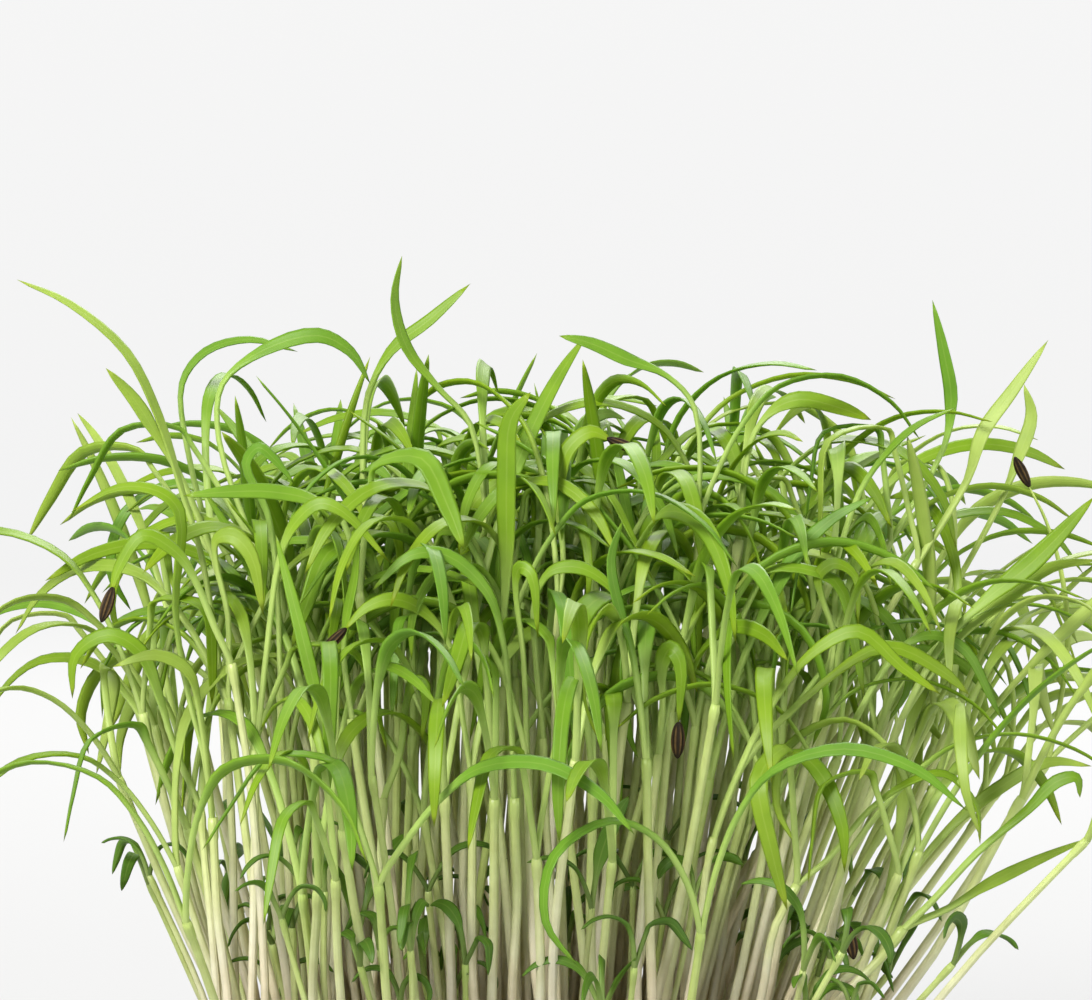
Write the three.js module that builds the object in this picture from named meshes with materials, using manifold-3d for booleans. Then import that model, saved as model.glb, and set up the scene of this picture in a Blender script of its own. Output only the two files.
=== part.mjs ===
// A plain tray of soil with a dense stand of long-leaved seedlings cut for salads.
// Millimetres, +Z up, +X to the right and +Y away from the viewer.
// The origin is the middle of the tray's flat base.

import * as THREE from 'three';
import { mergeVertices } from 'three/addons/utils/BufferGeometryUtils.js';
import Module from 'manifold-3d';

const wasm = await Module();
wasm.setup();

// Tray
const TRAY_LENGTH = 106;
const TRAY_WIDTH = 80;
const TRAY_HEIGHT = 30;
const RIM_RADIUS = 14;
const RIM_FLANGE = 4;
const LIP_DROP = 4;
const LIP_THICKNESS = 0.7;
const WALL = 1.2;
const WALL_DRAFT = 2.5;
const FOOT_ROUND = 0.8;
const RIM_ROUND = 0.6;
const SLOT_LENGTH = 12;
const SLOT_WIDTH = 3;
const SLOT_SPREAD = [20, 13];
const CORNER_SEGMENTS = 20;

// Soil and the root plugs that stand in it
const SOIL_TOP = 26.5;
const SOIL_ROUND = 0.8;
const FIT_GAP = 0.3;
const PLUG_RADIUS = 4.2;
const PLUG_DEPTH = 8;
const PLUG_BELOW_SOIL = 0.5;
const PLUG_SIDES = 6;
const HOLE_GAP = 0.35;

// Groups of seedlings, set out in columns and rows
const COLUMNS = 8;
const ROWS = 6;
const COLUMN_STEP = 10.5;
const ROW_STEP = 10;
const SEEDLINGS_PER_GROUP = 3;
const ATTEMPTS = 26;

// Seedlings
const STEM_SIDE = 1.6;
const STEM_DEEP = 1.4;
const STEM_LENGTH = 55;
const STEM_SPREAD = 9;
const STEM_SHORTER_AT_ENDS = 13;
const ROOT_DEPTH = 5;
const BASE_RING = 2.3;
const LEAN_RIGHT = 0.72;
const LEAN_LEFT = 0.34;
const LEAN_AWAY = 0.42;
const PETIOLE_WIDTH = 1.5;
const PETIOLE_DEEP = 1.2;
const BLADE_DEEP = 0.9;
const LEAF_SHORTEST = 37;
const LEAF_LONGEST = 50;
const STUNTED_SHARE = 0.12;
const STUNTED_SHORTEST = 14;
const STUNTED_LONGEST = 34;
const STUNTED_LEAF = [0.2, 0.34];
const STUNTED_NARROWER = 0.7;
const STEM_SCATTER = 0.13;
const STEM_BOW = 1.6;
const STEM_BOWS_OUT = 2.2;
const LEAF_PARTS = [0.16, 0.17, 0.15, 0.19, 0.18, 0.15];
const LEAF_RISE = [58, 84];
const LEAF_SWEEP = 26;
const LEAF_LEAN = 0.6;
const LEAF_ROLL = 25;
const LEAF_TWIST = 60;
const LEAF_WIDTHS = [2.4, 3.5];
const FOLD_PART = 2;
const FOLD_SHORTER = 0.45;

// Where along a leaf its blade starts and is full, where it narrows and how fast
const BLADE_FROM = 0.28;
const BLADE_OPENS_OVER = 0.3;
const TIP_FROM = 0.72;
const TIP_NARROWS = 1.1;

// Room kept round a stem, round a leaf and between the two
const STEM_ROOM = 0.85;
const LEAF_ROOM = 0.55;
const ROOM_BETWEEN = 0.5;
const ROOM_CELL = 2.6;
const SAMPLE_STEP = 1.1;
const BLADE_EDGE = 0.38;
const ROOM_AT_WALL = 2.2;
const LEAVES_FROM = SOIL_TOP + 2;
const FUSED_UP_TO = SOIL_TOP + 14;

// The most of a drawn seedling that may stand before the traced leaves
const HIDING_SHARE = 0.07;

// Seed husks, and where they show on the drawn plane
const HUSK_LENGTH = 4.2;
const HUSK_WIDTH = 1.9;
const HUSK_GAP = 0.3;
const HUSK_PLACES = [
  [-49.5, 100.5], [9.5, 119.5], [-18, 76.5], [41, 56], [-25.5, 87], [19.5, 83.5], [58, 102],
];
const HUSKS_BEFORE = 8;

// The viewer that the traced seedlings were drawn for, and the upright plane they were drawn on
const VIEWER = [1.4, -444.2, 132.1];
const DRAWN_PLANE = -25;

// How a leaf bends: the share of the whole bend at each of its six parts, the least and the most
// of it in degrees, and the draw above which a leaf bends so
const ARCH = { share: [0.06, 0.12, 0.26, 0.26, 0.18, 0.12], least: 95, most: 165, above: 0 };
const ERECT = { share: [0.1, 0.15, 0.2, 0.2, 0.2, 0.15], least: 12, most: 55, above: 0.5 };
const FOLD = { share: [0.02, 0.04, 0.44, 0.42, 0.05, 0.03], least: 130, most: 165, above: 0.7 };
const CURL = { share: [0.08, 0.14, 0.22, 0.22, 0.19, 0.15], least: 185, most: 235, above: 0.86 };
const BENDS = [CURL, FOLD, ERECT, ARCH];

const COLOURS = {
  tray: new THREE.Color(0.035, 0.037, 0.036),
  soil: new THREE.Color(0.045, 0.026, 0.014),
  sprouts: new THREE.Color(0.23, 0.38, 0.08),
  husk: new THREE.Color(0.105, 0.063, 0.017),
};

const degrees = THREE.MathUtils.degToRad;
const lerp = THREE.MathUtils.lerp;

// Seeded draws, the same sequence each time
function draws(seed) {
  let state = (seed * 48271 + 11) % 4294967296;
  const next = () => {
    state = (state * 1664525 + 1013904223) % 4294967296;
    return state / 4294967296;
  };
  for (let i = 0; i < 5; i += 1) {
    next();
  }
  return (low, high) => low + (high - low) * next();
}

// Solids
function toSolid(geometry) {
  const bare = geometry.clone();
  bare.deleteAttribute('normal');
  bare.deleteAttribute('uv');
  const merged = mergeVertices(bare, 1e-4);
  const triangles = [];
  const index = merged.index.array;
  for (let i = 0; i < index.length; i += 3) {
    const [a, b, c] = [index[i], index[i + 1], index[i + 2]];
    if (a !== b && b !== c && c !== a) {
      triangles.push(a, b, c);
    }
  }
  return new wasm.Manifold(new wasm.Mesh({
    numProp: 3,
    vertProperties: new Float32Array(merged.attributes.position.array),
    triVerts: new Uint32Array(triangles),
  }));
}

function toGeometry(solid) {
  const mesh = solid.getMesh();
  const geometry = new THREE.BufferGeometry();
  geometry.setAttribute('position', new THREE.BufferAttribute(new Float32Array(mesh.vertProperties), 3));
  geometry.setIndex(new THREE.BufferAttribute(new Uint32Array(mesh.triVerts), 1));
  return geometry;
}

// A turned profile of [radius, height] whose four quarters are pushed apart into a rounded rectangle
function roundedRectangle(profile, pushX, pushY) {
  const halfStep = Math.PI / CORNER_SEGMENTS;
  const points = profile.map(([radius, height]) => new THREE.Vector2(radius, height));
  const geometry = new THREE.LatheGeometry(points, CORNER_SEGMENTS, halfStep, Math.PI * 2);
  geometry.rotateX(Math.PI / 2);
  const position = geometry.attributes.position;
  for (let i = 0; i < position.count; i += 1) {
    const x = position.getX(i);
    const y = position.getY(i);
    if (Math.hypot(x, y) > 1e-6) {
      position.setXY(i, x + Math.sign(x) * pushX, y + Math.sign(y) * pushY);
    }
  }
  return toSolid(geometry);
}

function upright(geometry) {
  return geometry.rotateX(Math.PI / 2);
}

const PUSH_X = TRAY_LENGTH / 2 - RIM_RADIUS;
const PUSH_Y = TRAY_WIDTH / 2 - RIM_RADIUS;
const WALL_TOP = RIM_RADIUS - RIM_FLANGE;
const WALL_FOOT = WALL_TOP - WALL_DRAFT;

function innerRadius(height) {
  return lerp(WALL_FOOT, WALL_TOP, height / TRAY_HEIGHT) - WALL;
}

function makeTray() {
  const lipInner = RIM_RADIUS - LIP_THICKNESS;
  const body = roundedRectangle([
    [0, 0],
    [WALL_FOOT - FOOT_ROUND, 0],
    [WALL_FOOT, FOOT_ROUND],
    [WALL_TOP, TRAY_HEIGHT - WALL - FOOT_ROUND],
    [lipInner - RIM_ROUND / 2, TRAY_HEIGHT - WALL],
    [lipInner, TRAY_HEIGHT - LIP_DROP],
    [RIM_RADIUS, TRAY_HEIGHT - LIP_DROP],
    [RIM_RADIUS, TRAY_HEIGHT - RIM_ROUND],
    [RIM_RADIUS - RIM_ROUND, TRAY_HEIGHT],
    [innerRadius(TRAY_HEIGHT) + RIM_ROUND, TRAY_HEIGHT],
    [innerRadius(TRAY_HEIGHT), TRAY_HEIGHT - RIM_ROUND],
    [innerRadius(WALL), WALL],
    [0, WALL],
  ], PUSH_X, PUSH_Y);
  const half = SLOT_LENGTH / 2 - SLOT_WIDTH / 2;
  const outline = new THREE.Shape();
  outline.absarc(half, 0, SLOT_WIDTH / 2, -Math.PI / 2, Math.PI / 2);
  outline.absarc(-half, 0, SLOT_WIDTH / 2, Math.PI / 2, Math.PI * 1.5);
  const extrusion = { depth: 3 * WALL, bevelEnabled: false, curveSegments: 4 };
  const slot = new THREE.ExtrudeGeometry(outline, extrusion);
  let tray = body;
  for (const sideX of [-1, 1]) {
    for (const sideY of [-1, 1]) {
      const placed = slot.clone().translate(sideX * SLOT_SPREAD[0], sideY * SLOT_SPREAD[1], -WALL);
      tray = tray.subtract(toSolid(placed));
    }
  }
  return tray;
}

function makeSoil(groups) {
  const bottom = WALL + FIT_GAP;
  let soil = roundedRectangle([
    [0, bottom],
    [innerRadius(bottom) - FIT_GAP - SOIL_ROUND, bottom],
    [innerRadius(SOIL_TOP) - FIT_GAP, SOIL_TOP - SOIL_ROUND],
    [innerRadius(SOIL_TOP) - FIT_GAP - SOIL_ROUND, SOIL_TOP],
    [0, SOIL_TOP],
  ], PUSH_X, PUSH_Y);
  const depth = PLUG_DEPTH + FIT_GAP;
  const radius = PLUG_RADIUS + HOLE_GAP;
  for (const group of groups) {
    const hole = upright(new THREE.CylinderGeometry(radius, radius, depth + 1, PLUG_SIDES));
    hole.translate(group.x, group.y, SOIL_TOP - (depth - 1) / 2);
    soil = soil.subtract(toSolid(hole));
  }
  return soil;
}

// Where a point that shows at [x, z] on the drawn plane lies when it is as deep as y
function onSightline(x, z, y) {
  const reach = (y - VIEWER[1]) / (DRAWN_PLANE - VIEWER[1]);
  return new THREE.Vector3(
    VIEWER[0] + (x - VIEWER[0]) * reach,
    y,
    VIEWER[2] + (z - VIEWER[2]) * reach,
  );
}

// The reverse: where a point shows on the drawn plane
function shownAt(point) {
  const reach = (DRAWN_PLANE - VIEWER[1]) / (point.y - VIEWER[1]);
  return [VIEWER[0] + (point.x - VIEWER[0]) * reach, VIEWER[2] + (point.z - VIEWER[2]) * reach];
}

// Rings along a route: the middle, the way across and the way up of each cross-section
function ringsAlong(points, widths, deeps, reference, rolls) {
  return points.map((point, i) => {
    const before = points[Math.max(i - 1, 0)];
    const after = points[Math.min(i + 1, points.length - 1)];
    const tangent = new THREE.Vector3();
    if (i > 0) {
      tangent.add(point.clone().sub(before).normalize());
    }
    if (i < points.length - 1) {
      tangent.add(after.clone().sub(point).normalize());
    }
    tangent.normalize();
    const side = reference.clone().addScaledVector(tangent, -reference.dot(tangent)).normalize();
    const up = tangent.clone().cross(side);
    const roll = degrees(rolls[i]);
    const across = side.clone().multiplyScalar(Math.cos(roll)).addScaledVector(up, Math.sin(roll));
    const top = tangent.clone().cross(across);
    return { point, across, top, width: widths[i], deep: deeps[i] };
  });
}

// A three-sided rod through the rings: flat on top with a keel below, closed to a point at the tip
function rod(rings) {
  const parts = rings.length - 1;
  const geometry = new THREE.CylinderGeometry(0, 1, parts, 3, parts);
  const position = geometry.attributes.position;
  for (let i = 0; i < position.count; i += 1) {
    const ring = rings[Math.round(position.getY(i) + parts / 2)];
    const angle = Math.atan2(position.getX(i), position.getZ(i));
    const onEdge = Math.hypot(position.getX(i), position.getZ(i)) > 1e-6 ? 1 : 0;
    const place = ring.point.clone();
    const sideways = Math.sin(angle) / Math.sin(degrees(120));
    place.addScaledVector(ring.across, onEdge * (ring.width / 2) * sideways);
    place.addScaledVector(ring.top, -onEdge * ring.deep * (2 / 3) * Math.cos(angle));
    position.setXYZ(i, place.x, place.y, place.z);
  }
  return toSolid(geometry);
}

// The width and depth of a leaf along its parts, from its stalk to its tip
function leafSection(count, width) {
  const widths = [];
  const deeps = [];
  for (let i = 1; i <= count; i += 1) {
    const along = i / count;
    const opening = THREE.MathUtils.clamp((along - BLADE_FROM) / BLADE_OPENS_OVER, 0, 1);
    const closing = along > TIP_FROM ? 1 - (along - TIP_FROM) * TIP_NARROWS : 1;
    widths.push(lerp(PETIOLE_WIDTH, width, opening) * closing);
    deeps.push(lerp(PETIOLE_DEEP, BLADE_DEEP, opening));
  }
  return { widths, deeps };
}

// A leaf's route by draws: it leaves the node at a steep angle and bends down as it goes
function leafRoute(start, azimuth, draw, lean, size) {
  const kind = draw(0, 1);
  const bend = BENDS.find((one) => kind > one.above) ?? ARCH;
  const whole = draw(bend.least, bend.most);
  const length = draw(LEAF_SHORTEST, LEAF_LONGEST) * size;
  const sideways = draw(-LEAF_SWEEP, LEAF_SWEEP);
  let elevation = draw(...LEAF_RISE);
  const points = [];
  let point = start.clone();
  LEAF_PARTS.forEach((part, i) => {
    const turned = degrees(azimuth + sideways * (i / (LEAF_PARTS.length - 1)));
    const raised = degrees(elevation);
    const way = new THREE.Vector3(
      Math.cos(raised) * Math.cos(turned) + lean.x * LEAF_LEAN,
      Math.cos(raised) * Math.sin(turned) + lean.y * LEAF_LEAN,
      Math.sin(raised),
    ).normalize();
    const short = bend === FOLD && i === FOLD_PART ? FOLD_SHORTER : 1;
    point = point.clone().addScaledVector(way, part * length * short);
    points.push(point);
    elevation -= whole * bend.share[i];
  });
  return points;
}

function drawnLeaf(node, azimuth, draw, lean, size) {
  const route = leafRoute(node, azimuth, draw, lean, size);
  const reference = new THREE.Vector3(-Math.sin(degrees(azimuth)), Math.cos(degrees(azimuth)), 0);
  const first = draw(-LEAF_ROLL, LEAF_ROLL);
  const last = first + draw(-LEAF_TWIST, LEAF_TWIST);
  const width = draw(...LEAF_WIDTHS) * (size < 1 ? STUNTED_NARROWER : 1);
  const rolls = route.map((_, i) => lerp(first, last, (i + 1) / route.length));
  return { route, reference, width, rolls };
}

// One seedling by draws, at its place in a group
function drawnSeedling(group, index, attempt) {
  const draw = draws(1 + group.number * 977 + index * 131 + attempt * 31337);
  const angle = degrees(index * 120 + group.number * 47 + draw(-25, 25));
  const ring = BASE_RING + draw(-0.4, 0.5);
  const foot = new THREE.Vector3(
    group.x + ring * Math.cos(angle),
    group.y + ring * Math.sin(angle),
    SOIL_TOP,
  );
  const alongX = foot.x / (COLUMNS * COLUMN_STEP / 2);
  const alongY = foot.y / (ROWS * ROW_STEP / 2);
  const stunted = draw(0, 1) < STUNTED_SHARE;
  const sweep = alongX > 0 ? LEAN_RIGHT : LEAN_LEFT;
  const lean = new THREE.Vector3(
    sweep * Math.sign(alongX) * Math.abs(alongX) ** 1.4 + draw(-STEM_SCATTER, STEM_SCATTER),
    LEAN_AWAY * alongY * Math.abs(alongY) + draw(-STEM_SCATTER, STEM_SCATTER),
    0,
  );
  const typical = STEM_LENGTH - STEM_SHORTER_AT_ENDS * alongX * alongX;
  const full = typical + draw(-STEM_SPREAD, STEM_SPREAD);
  const length = stunted ? draw(STUNTED_SHORTEST, STUNTED_LONGEST) : full;
  const up = lean.clone().setZ(1).normalize();
  const bow = new THREE.Vector3(draw(-STEM_BOW, STEM_BOW), draw(-STEM_BOW, STEM_BOW), 0);
  bow.addScaledVector(lean, -STEM_BOWS_OUT);
  const middle = foot.clone().addScaledVector(up, length * 0.5).addScaledVector(bow, length / STEM_LENGTH);
  const node = foot.clone().addScaledVector(up, length);
  const low = foot.clone().addScaledVector(lean, 1.2).setZ(SOIL_TOP + 2.5);
  const root = foot.clone().setZ(SOIL_TOP - ROOT_DEPTH);
  const size = stunted ? draw(...STUNTED_LEAF) : 1;
  const azimuth = draw(0, 360);
  const leaves = [
    drawnLeaf(node, azimuth, draw, lean, size),
    drawnLeaf(node, azimuth + 180 + draw(-32, 32), draw, lean, size),
  ];
  return { group, stem: [root, low, middle, node], leaves };
}

// Seedlings drawn from life: each route is [x, z] as it shows on the drawn plane.
// row counts from the front, width is the blade's, turn rolls its top to the viewer in degrees,
// and away is how far the tip goes back.
const TRACED = [
  {
    row: 1,
    stem: [[-35.5, 45], [-35.5, 66.5], [-35, 75]],
    leaves: [{
      route: [[-33.5, 89], [-32, 99], [-30, 103.5], [-27, 106], [-24, 105], [-18, 98.5]],
      width: 2.6, turn: 62, away: -3,
    }],
  },
  {
    row: 2,
    stem: [[-37.5, 44.5], [-38, 61.5], [-39, 81.5]],
    leaves: [{
      route: [[-41.5, 99], [-44, 107.5], [-47, 117], [-51, 125], [-58, 131], [-64.5, 134]],
      width: 2.2, turn: 35, away: 4,
    }],
  },
  {
    row: 1,
    stem: [[-39, 45], [-40, 56], [-40.5, 66.5]],
    leaves: [
      {
        route: [
          [-41.5, 74.5], [-43.5, 82.5], [-45, 93], [-44.5, 105], [-47, 107.5], [-52, 108], [-58, 105],
        ],
        width: 2.4, turn: 48, away: 2,
      },
      { route: [[-42, 80], [-43.5, 85], [-47.5, 87], [-53, 85.5]], width: 2.3, turn: 60, away: -4 },
    ],
  },
  {
    row: 1,
    stem: [[-41, 53], [-42, 67.5]],
    leaves: [{
      route: [[-45, 75], [-47, 81.5], [-49.5, 87.5], [-53.5, 89.5], [-57.5, 87], [-58, 81.5]],
      width: 2.5, turn: 55, away: 2,
    }],
  },
  {
    row: 1,
    stem: [[-34, 46], [-35.5, 69], [-38, 86]],
    leaves: [{
      route: [[-40, 90.5], [-42.5, 96.5], [-45, 100], [-49, 102], [-52, 98], [-53, 95]],
      width: 2.4, turn: 58, away: -5,
    }],
  },
  {
    row: 1,
    stem: [[-34, 49], [-37, 70], [-38.5, 81.5]],
    leaves: [{
      route: [[-38.5, 92], [-40, 99], [-39.8, 101.5], [-37.8, 102], [-35.5, 99.5], [-34, 92]],
      width: 3.0, turn: 80, away: -4,
    }],
  },
  {
    row: 2,
    stem: [[-30.5, 49], [-31.5, 71.5], [-32, 84]],
    leaves: [{
      route: [[-32.5, 98], [-33.5, 105], [-36, 111], [-34.5, 113], [-32.5, 111.5], [-30, 108.5]],
      width: 2.5, turn: 50, away: -3,
    }],
  },
  {
    row: 2,
    stem: [[-18, 56.5], [-20, 79], [-22, 95]],
    leaves: [{
      route: [[-24, 104], [-28, 106.5], [-33, 107.5], [-38, 107.5], [-44, 107]],
      width: 2.5, turn: 66, away: -6,
    }],
  },
  {
    row: 1,
    stem: [[-7.5, 46], [-8, 60], [-8, 72]],
    leaves: [{
      route: [[-9, 79], [-10.5, 88], [-14, 92.5], [-17.5, 94], [-21, 93], [-24, 90]],
      width: 2.6, turn: 55, away: -3,
    }],
  },
  {
    row: 1,
    stem: [[-19, 46], [-20.5, 61.5], [-23, 79]],
    leaves: [{
      route: [[-24, 87], [-23.5, 92], [-22.5, 97], [-22, 104]],
      width: 2.4, turn: 50, away: 3,
    }],
  },
  {
    row: 1,
    stem: [[-2.5, 46], [-2.5, 59], [-2.5, 69]],
    leaves: [{
      route: [[-3, 80], [-4, 89], [-6, 95], [-11, 99.5], [-15.5, 99.5], [-20.5, 95]],
      width: 2.3, turn: 58, away: -5,
    }],
  },
  {
    row: 1,
    stem: [[0, 46], [-0.5, 61.5], [-1, 74.5]],
    leaves: [{
      route: [[-1.5, 87], [-2.4, 96], [-1.8, 98], [-0.4, 97], [0.4, 89]],
      width: 2.4, turn: 75, away: -6,
    }],
  },
  {
    row: 2,
    stem: [[-5, 48], [-4.5, 69], [-4, 83]],
    leaves: [{
      route: [[-4, 89], [-3.5, 99], [-3.5, 109], [-3, 116.5], [-0.5, 120]],
      width: 3.3, turn: 78, away: -4,
    }],
  },
  {
    row: 1,
    stem: [[2.5, 46], [1.5, 65], [1, 76.5]],
    leaves: [{
      route: [[0, 87], [0, 94], [2, 97.5], [5.5, 98], [9, 96], [11.5, 92.5]],
      width: 2.6, turn: 58, away: -3,
    }],
  },
  {
    row: 2,
    stem: [[1.5, 45], [2, 69.5], [2.5, 84.5], [3, 94]],
    leaves: [{
      route: [[3.5, 99], [3, 106.5], [4, 112.5], [7, 115], [9.5, 114]],
      width: 2.6, turn: 60, away: 2,
    }],
  },
  {
    row: 1,
    stem: [[14.5, 46], [14.5, 61.5], [14, 74]],
    leaves: [{
      route: [[13, 83], [12, 88.5], [10.5, 93], [9.5, 99], [11, 104]],
      width: 2.5, turn: 55, away: 2,
    }],
  },
  {
    row: 1,
    stem: [[13, 46], [14.5, 63], [15.5, 74.5]],
    leaves: [{
      route: [[16, 81.5], [16, 86], [17, 87.8], [18.2, 86], [18, 78]],
      width: 3.0, turn: 82, away: -4,
    }],
  },
  {
    row: 1,
    stem: [[-20.5, 46], [-19.5, 59], [-19, 69]],
    leaves: [{
      route: [[-17, 74.5], [-16, 81.5], [-15, 83.5], [-13.8, 83], [-14.2, 76]],
      width: 2.6, turn: 78, away: -3,
    }],
  },
  {
    row: 1,
    stem: [[19.5, 46], [21, 56.5], [22.5, 64]],
    leaves: [
      {
        route: [[25, 71], [29.5, 80.5], [34.5, 87], [40.5, 90], [46, 85.5], [51, 82]],
        width: 2.6, turn: 62, away: -5,
      },
      { route: [[26, 73], [35.5, 83], [44, 88], [51, 85], [54.5, 82]], width: 2.4, turn: 58, away: 4 },
    ],
  },
  {
    row: 2,
    stem: [[29.5, 46], [33, 61.5], [38, 74]],
    leaves: [{
      route: [[41.5, 81.5], [46, 88], [50, 89.5], [54, 87.5], [57, 82], [58.5, 79]],
      width: 2.4, turn: 60, away: 2,
    }],
  },
  {
    row: 2,
    stem: [[33, 46], [39.5, 63], [46, 79]],
    leaves: [
      {
        route: [[51, 88.5], [56, 93.5], [62, 98.5], [65.5, 102], [70, 107]],
        width: 3.3, turn: 74, away: 2,
      },
      { route: [[53, 89], [59, 94], [64.5, 98], [70.5, 99]], width: 2.6, turn: 60, away: 6 },
    ],
  },
  {
    row: 2,
    stem: [[27, 46], [32, 65], [36, 81.5]],
    leaves: [{
      route: [[37.5, 89], [36, 94], [35.5, 97], [37.5, 98.5], [40, 97], [40.5, 90.5]],
      width: 2.6, turn: 55, away: -3,
    }],
  },
  {
    row: 1,
    stem: [[40, 45], [43.5, 48.5], [46.5, 52.5]],
    leaves: [
      {
        route: [[50, 56], [55.5, 62], [62, 67.5], [65.5, 71], [68, 71.5], [68.5, 69]],
        width: 2.3, turn: 55, away: -2,
      },
      { route: [[52, 55], [57, 58], [63, 61], [70, 64]], width: 2.2, turn: 65, away: 5 },
    ],
  },
  {
    row: 2,
    stem: [[38, 45], [41, 48], [43.5, 53]],
    leaves: [{
      route: [[47, 59], [52, 65], [58, 70], [64.5, 73.5], [70, 73]],
      width: 2.4, turn: 58, away: 4,
    }],
  },
  {
    row: 1,
    stem: [[29, 46], [30.5, 53], [33, 58]],
    leaves: [{
      route: [[37, 61.5], [42, 67.5], [47, 71], [51.5, 72], [55.5, 68], [56, 63]],
      width: 2.2, turn: 25, away: -4,
    }],
  },
  {
    row: 3,
    stem: [[-35.5, 81.5], [-40, 99]],
    leaves: [{
      route: [[-44, 109], [-47.5, 115], [-50, 119], [-53.5, 123]],
      width: 2.6, turn: 60, away: 0,
    }],
  },
  {
    row: 4,
    stem: [[-33, 79], [-40, 99]],
    leaves: [{
      route: [[-43.5, 113], [-44, 121], [-41, 125], [-35.5, 126.5], [-29.5, 125]],
      width: 2.4, turn: 40, away: 0,
    }],
  },
  {
    row: 3,
    stem: [[-29.5, 79], [-35.5, 101.5]],
    leaves: [{
      route: [[-39.5, 114], [-39, 121], [-34, 125], [-27, 127], [-23, 125], [-20.5, 121]],
      width: 3.2, turn: 64, away: 3,
    }],
  },
  {
    row: 3,
    stem: [[-5.5, 79], [-6, 104]],
    leaves: [{
      route: [[-8, 116], [-12, 120.5], [-16, 125.5], [-17.5, 131.5], [-16.5, 137]],
      width: 2.3, turn: 50, away: 0,
    }],
  },
  {
    row: 4,
    stem: [[-22, 81.5], [-21.5, 106.5]],
    leaves: [{
      route: [[-21, 119], [-18, 125], [-13, 129], [-8, 133.5]],
      width: 2.6, turn: 60, away: 2,
    }],
  },
  {
    row: 3,
    stem: [[19.5, 81.5], [20.5, 104]],
    leaves: [{
      route: [[20, 118], [16.5, 122], [11.5, 124], [7, 126], [3, 127]],
      width: 2.6, turn: 58, away: 2,
    }],
  },
  {
    row: 3,
    stem: [[23, 79], [25.5, 101.5]],
    leaves: [{
      route: [[27, 114], [29.5, 117.5], [33, 119], [38, 118], [42, 116.5]],
      width: 2.8, turn: 62, away: -2,
    }],
  },
  {
    row: 4,
    stem: [[33, 79], [44.5, 101.5]],
    leaves: [{
      route: [[51, 113], [52, 119], [51, 125], [49.5, 131.5]],
      width: 2.7, turn: 62, away: 2,
    }],
  },
  {
    row: 3,
    stem: [[37, 79], [48, 99]],
    leaves: [{
      route: [[54, 109], [56, 115], [59.5, 120], [64, 126.5]],
      width: 2.8, turn: 68, away: 2,
    }],
  },
  {
    row: 4,
    stem: [[38, 76.5], [52, 95]],
    leaves: [{ route: [[58, 106], [60.5, 112], [62, 117], [61, 121]], width: 2.6, turn: 60, away: 2 }],
  },
  {
    row: 3,
    stem: [[39.5, 74], [55.5, 91.5]],
    leaves: [{
      route: [[62.5, 100.5], [64.5, 106.5], [65, 110.5], [63, 114]],
      width: 2.8, turn: 66, away: -2,
    }],
  },
  {
    row: 3,
    stem: [[29.5, 76.5], [37, 96.5]],
    leaves: [{
      route: [[40.5, 107.5], [44.5, 113], [48, 116], [52.5, 118]],
      width: 2.2, turn: 30, away: -2,
    }],
  },
  {
    row: 2,
    stem: [[18, 51.5], [22, 71.5]],
    leaves: [{
      route: [[25.5, 85], [29, 93], [33, 100], [37, 104], [42.5, 107]],
      width: 2.9, turn: 60, away: -2,
    }],
  },
];

// The depth shifts tried in turn until a traced seedling is clear of those before it
const DEPTH_SHIFTS = [0, 1.6, -1.6, 3.2, -3.2, 4.8, -4.8, 6.4, -6.4, 8, 9.6, 11.2, 12.8];

// How far a traced stem's foot follows the slope of its lowest part and its depth shift, and how
// far it may stand from the middle of its group
const FOOT_SLOPE = 0.8;
const FOOT_SHIFT = 0.3;
const FOOT_REACH = 2.7;
const FOOT_DEPTH_REACH = 1.6;
const LOW_SHIFT = 0.4;
const LEAST_RISE = 4;
const TURN_AT_STALK = 0.35;

function tracedSeedling(traced, groups, shift) {
  const rowY = (traced.row - (ROWS + 1) / 2) * ROW_STEP;
  const first = onSightline(...traced.stem[0], rowY);
  const second = onSightline(...traced.stem[1], rowY + shift * LOW_SHIFT);
  const slope = (second.x - first.x) / Math.max(second.z - first.z, LEAST_RISE);
  const footX = first.x - slope * (first.z - SOIL_TOP) * FOOT_SLOPE;
  const near = groups.filter((group) => group.row === traced.row);
  near.sort((a, b) => Math.abs(a.x - footX) - Math.abs(b.x - footX));
  const group = near[0];
  const foot = new THREE.Vector3(
    THREE.MathUtils.clamp(footX, group.x - FOOT_REACH, group.x + FOOT_REACH),
    rowY + THREE.MathUtils.clamp(shift * FOOT_SHIFT, -FOOT_DEPTH_REACH, FOOT_DEPTH_REACH),
    SOIL_TOP,
  );
  const root = foot.clone().setZ(SOIL_TOP - ROOT_DEPTH);
  const low = foot.clone().setZ(SOIL_TOP + 1.5);
  const count = traced.stem.length;
  const stem = traced.stem.map(([x, z], i) => onSightline(x, z, rowY + shift * ((i + 1) / count)));
  const node = stem[count - 1];
  const leaves = traced.leaves.map((leaf) => {
    const span = leaf.route.length;
    const route = leaf.route.map(([x, z], i) => {
      const depth = rowY + shift + leaf.away * ((i + 1) / span);
      return onSightline(x, z, depth);
    });
    const sense = Math.sign(route[span - 1].x - node.x) || 1;
    const rolls = route.map((_, i) => sense * leaf.turn * Math.min(1, TURN_AT_STALK + (i + 1) / span));
    return { route, reference: new THREE.Vector3(0, sense, 0), width: leaf.width, rolls };
  });
  return { group, stem: [root, low, ...stem], leaves };
}

// How deep in the node a further leaf starts, and how much thinner it is there
const LEAF_IN_NODE = 0.08;
const FURTHER_LEAF = 0.8;

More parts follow.
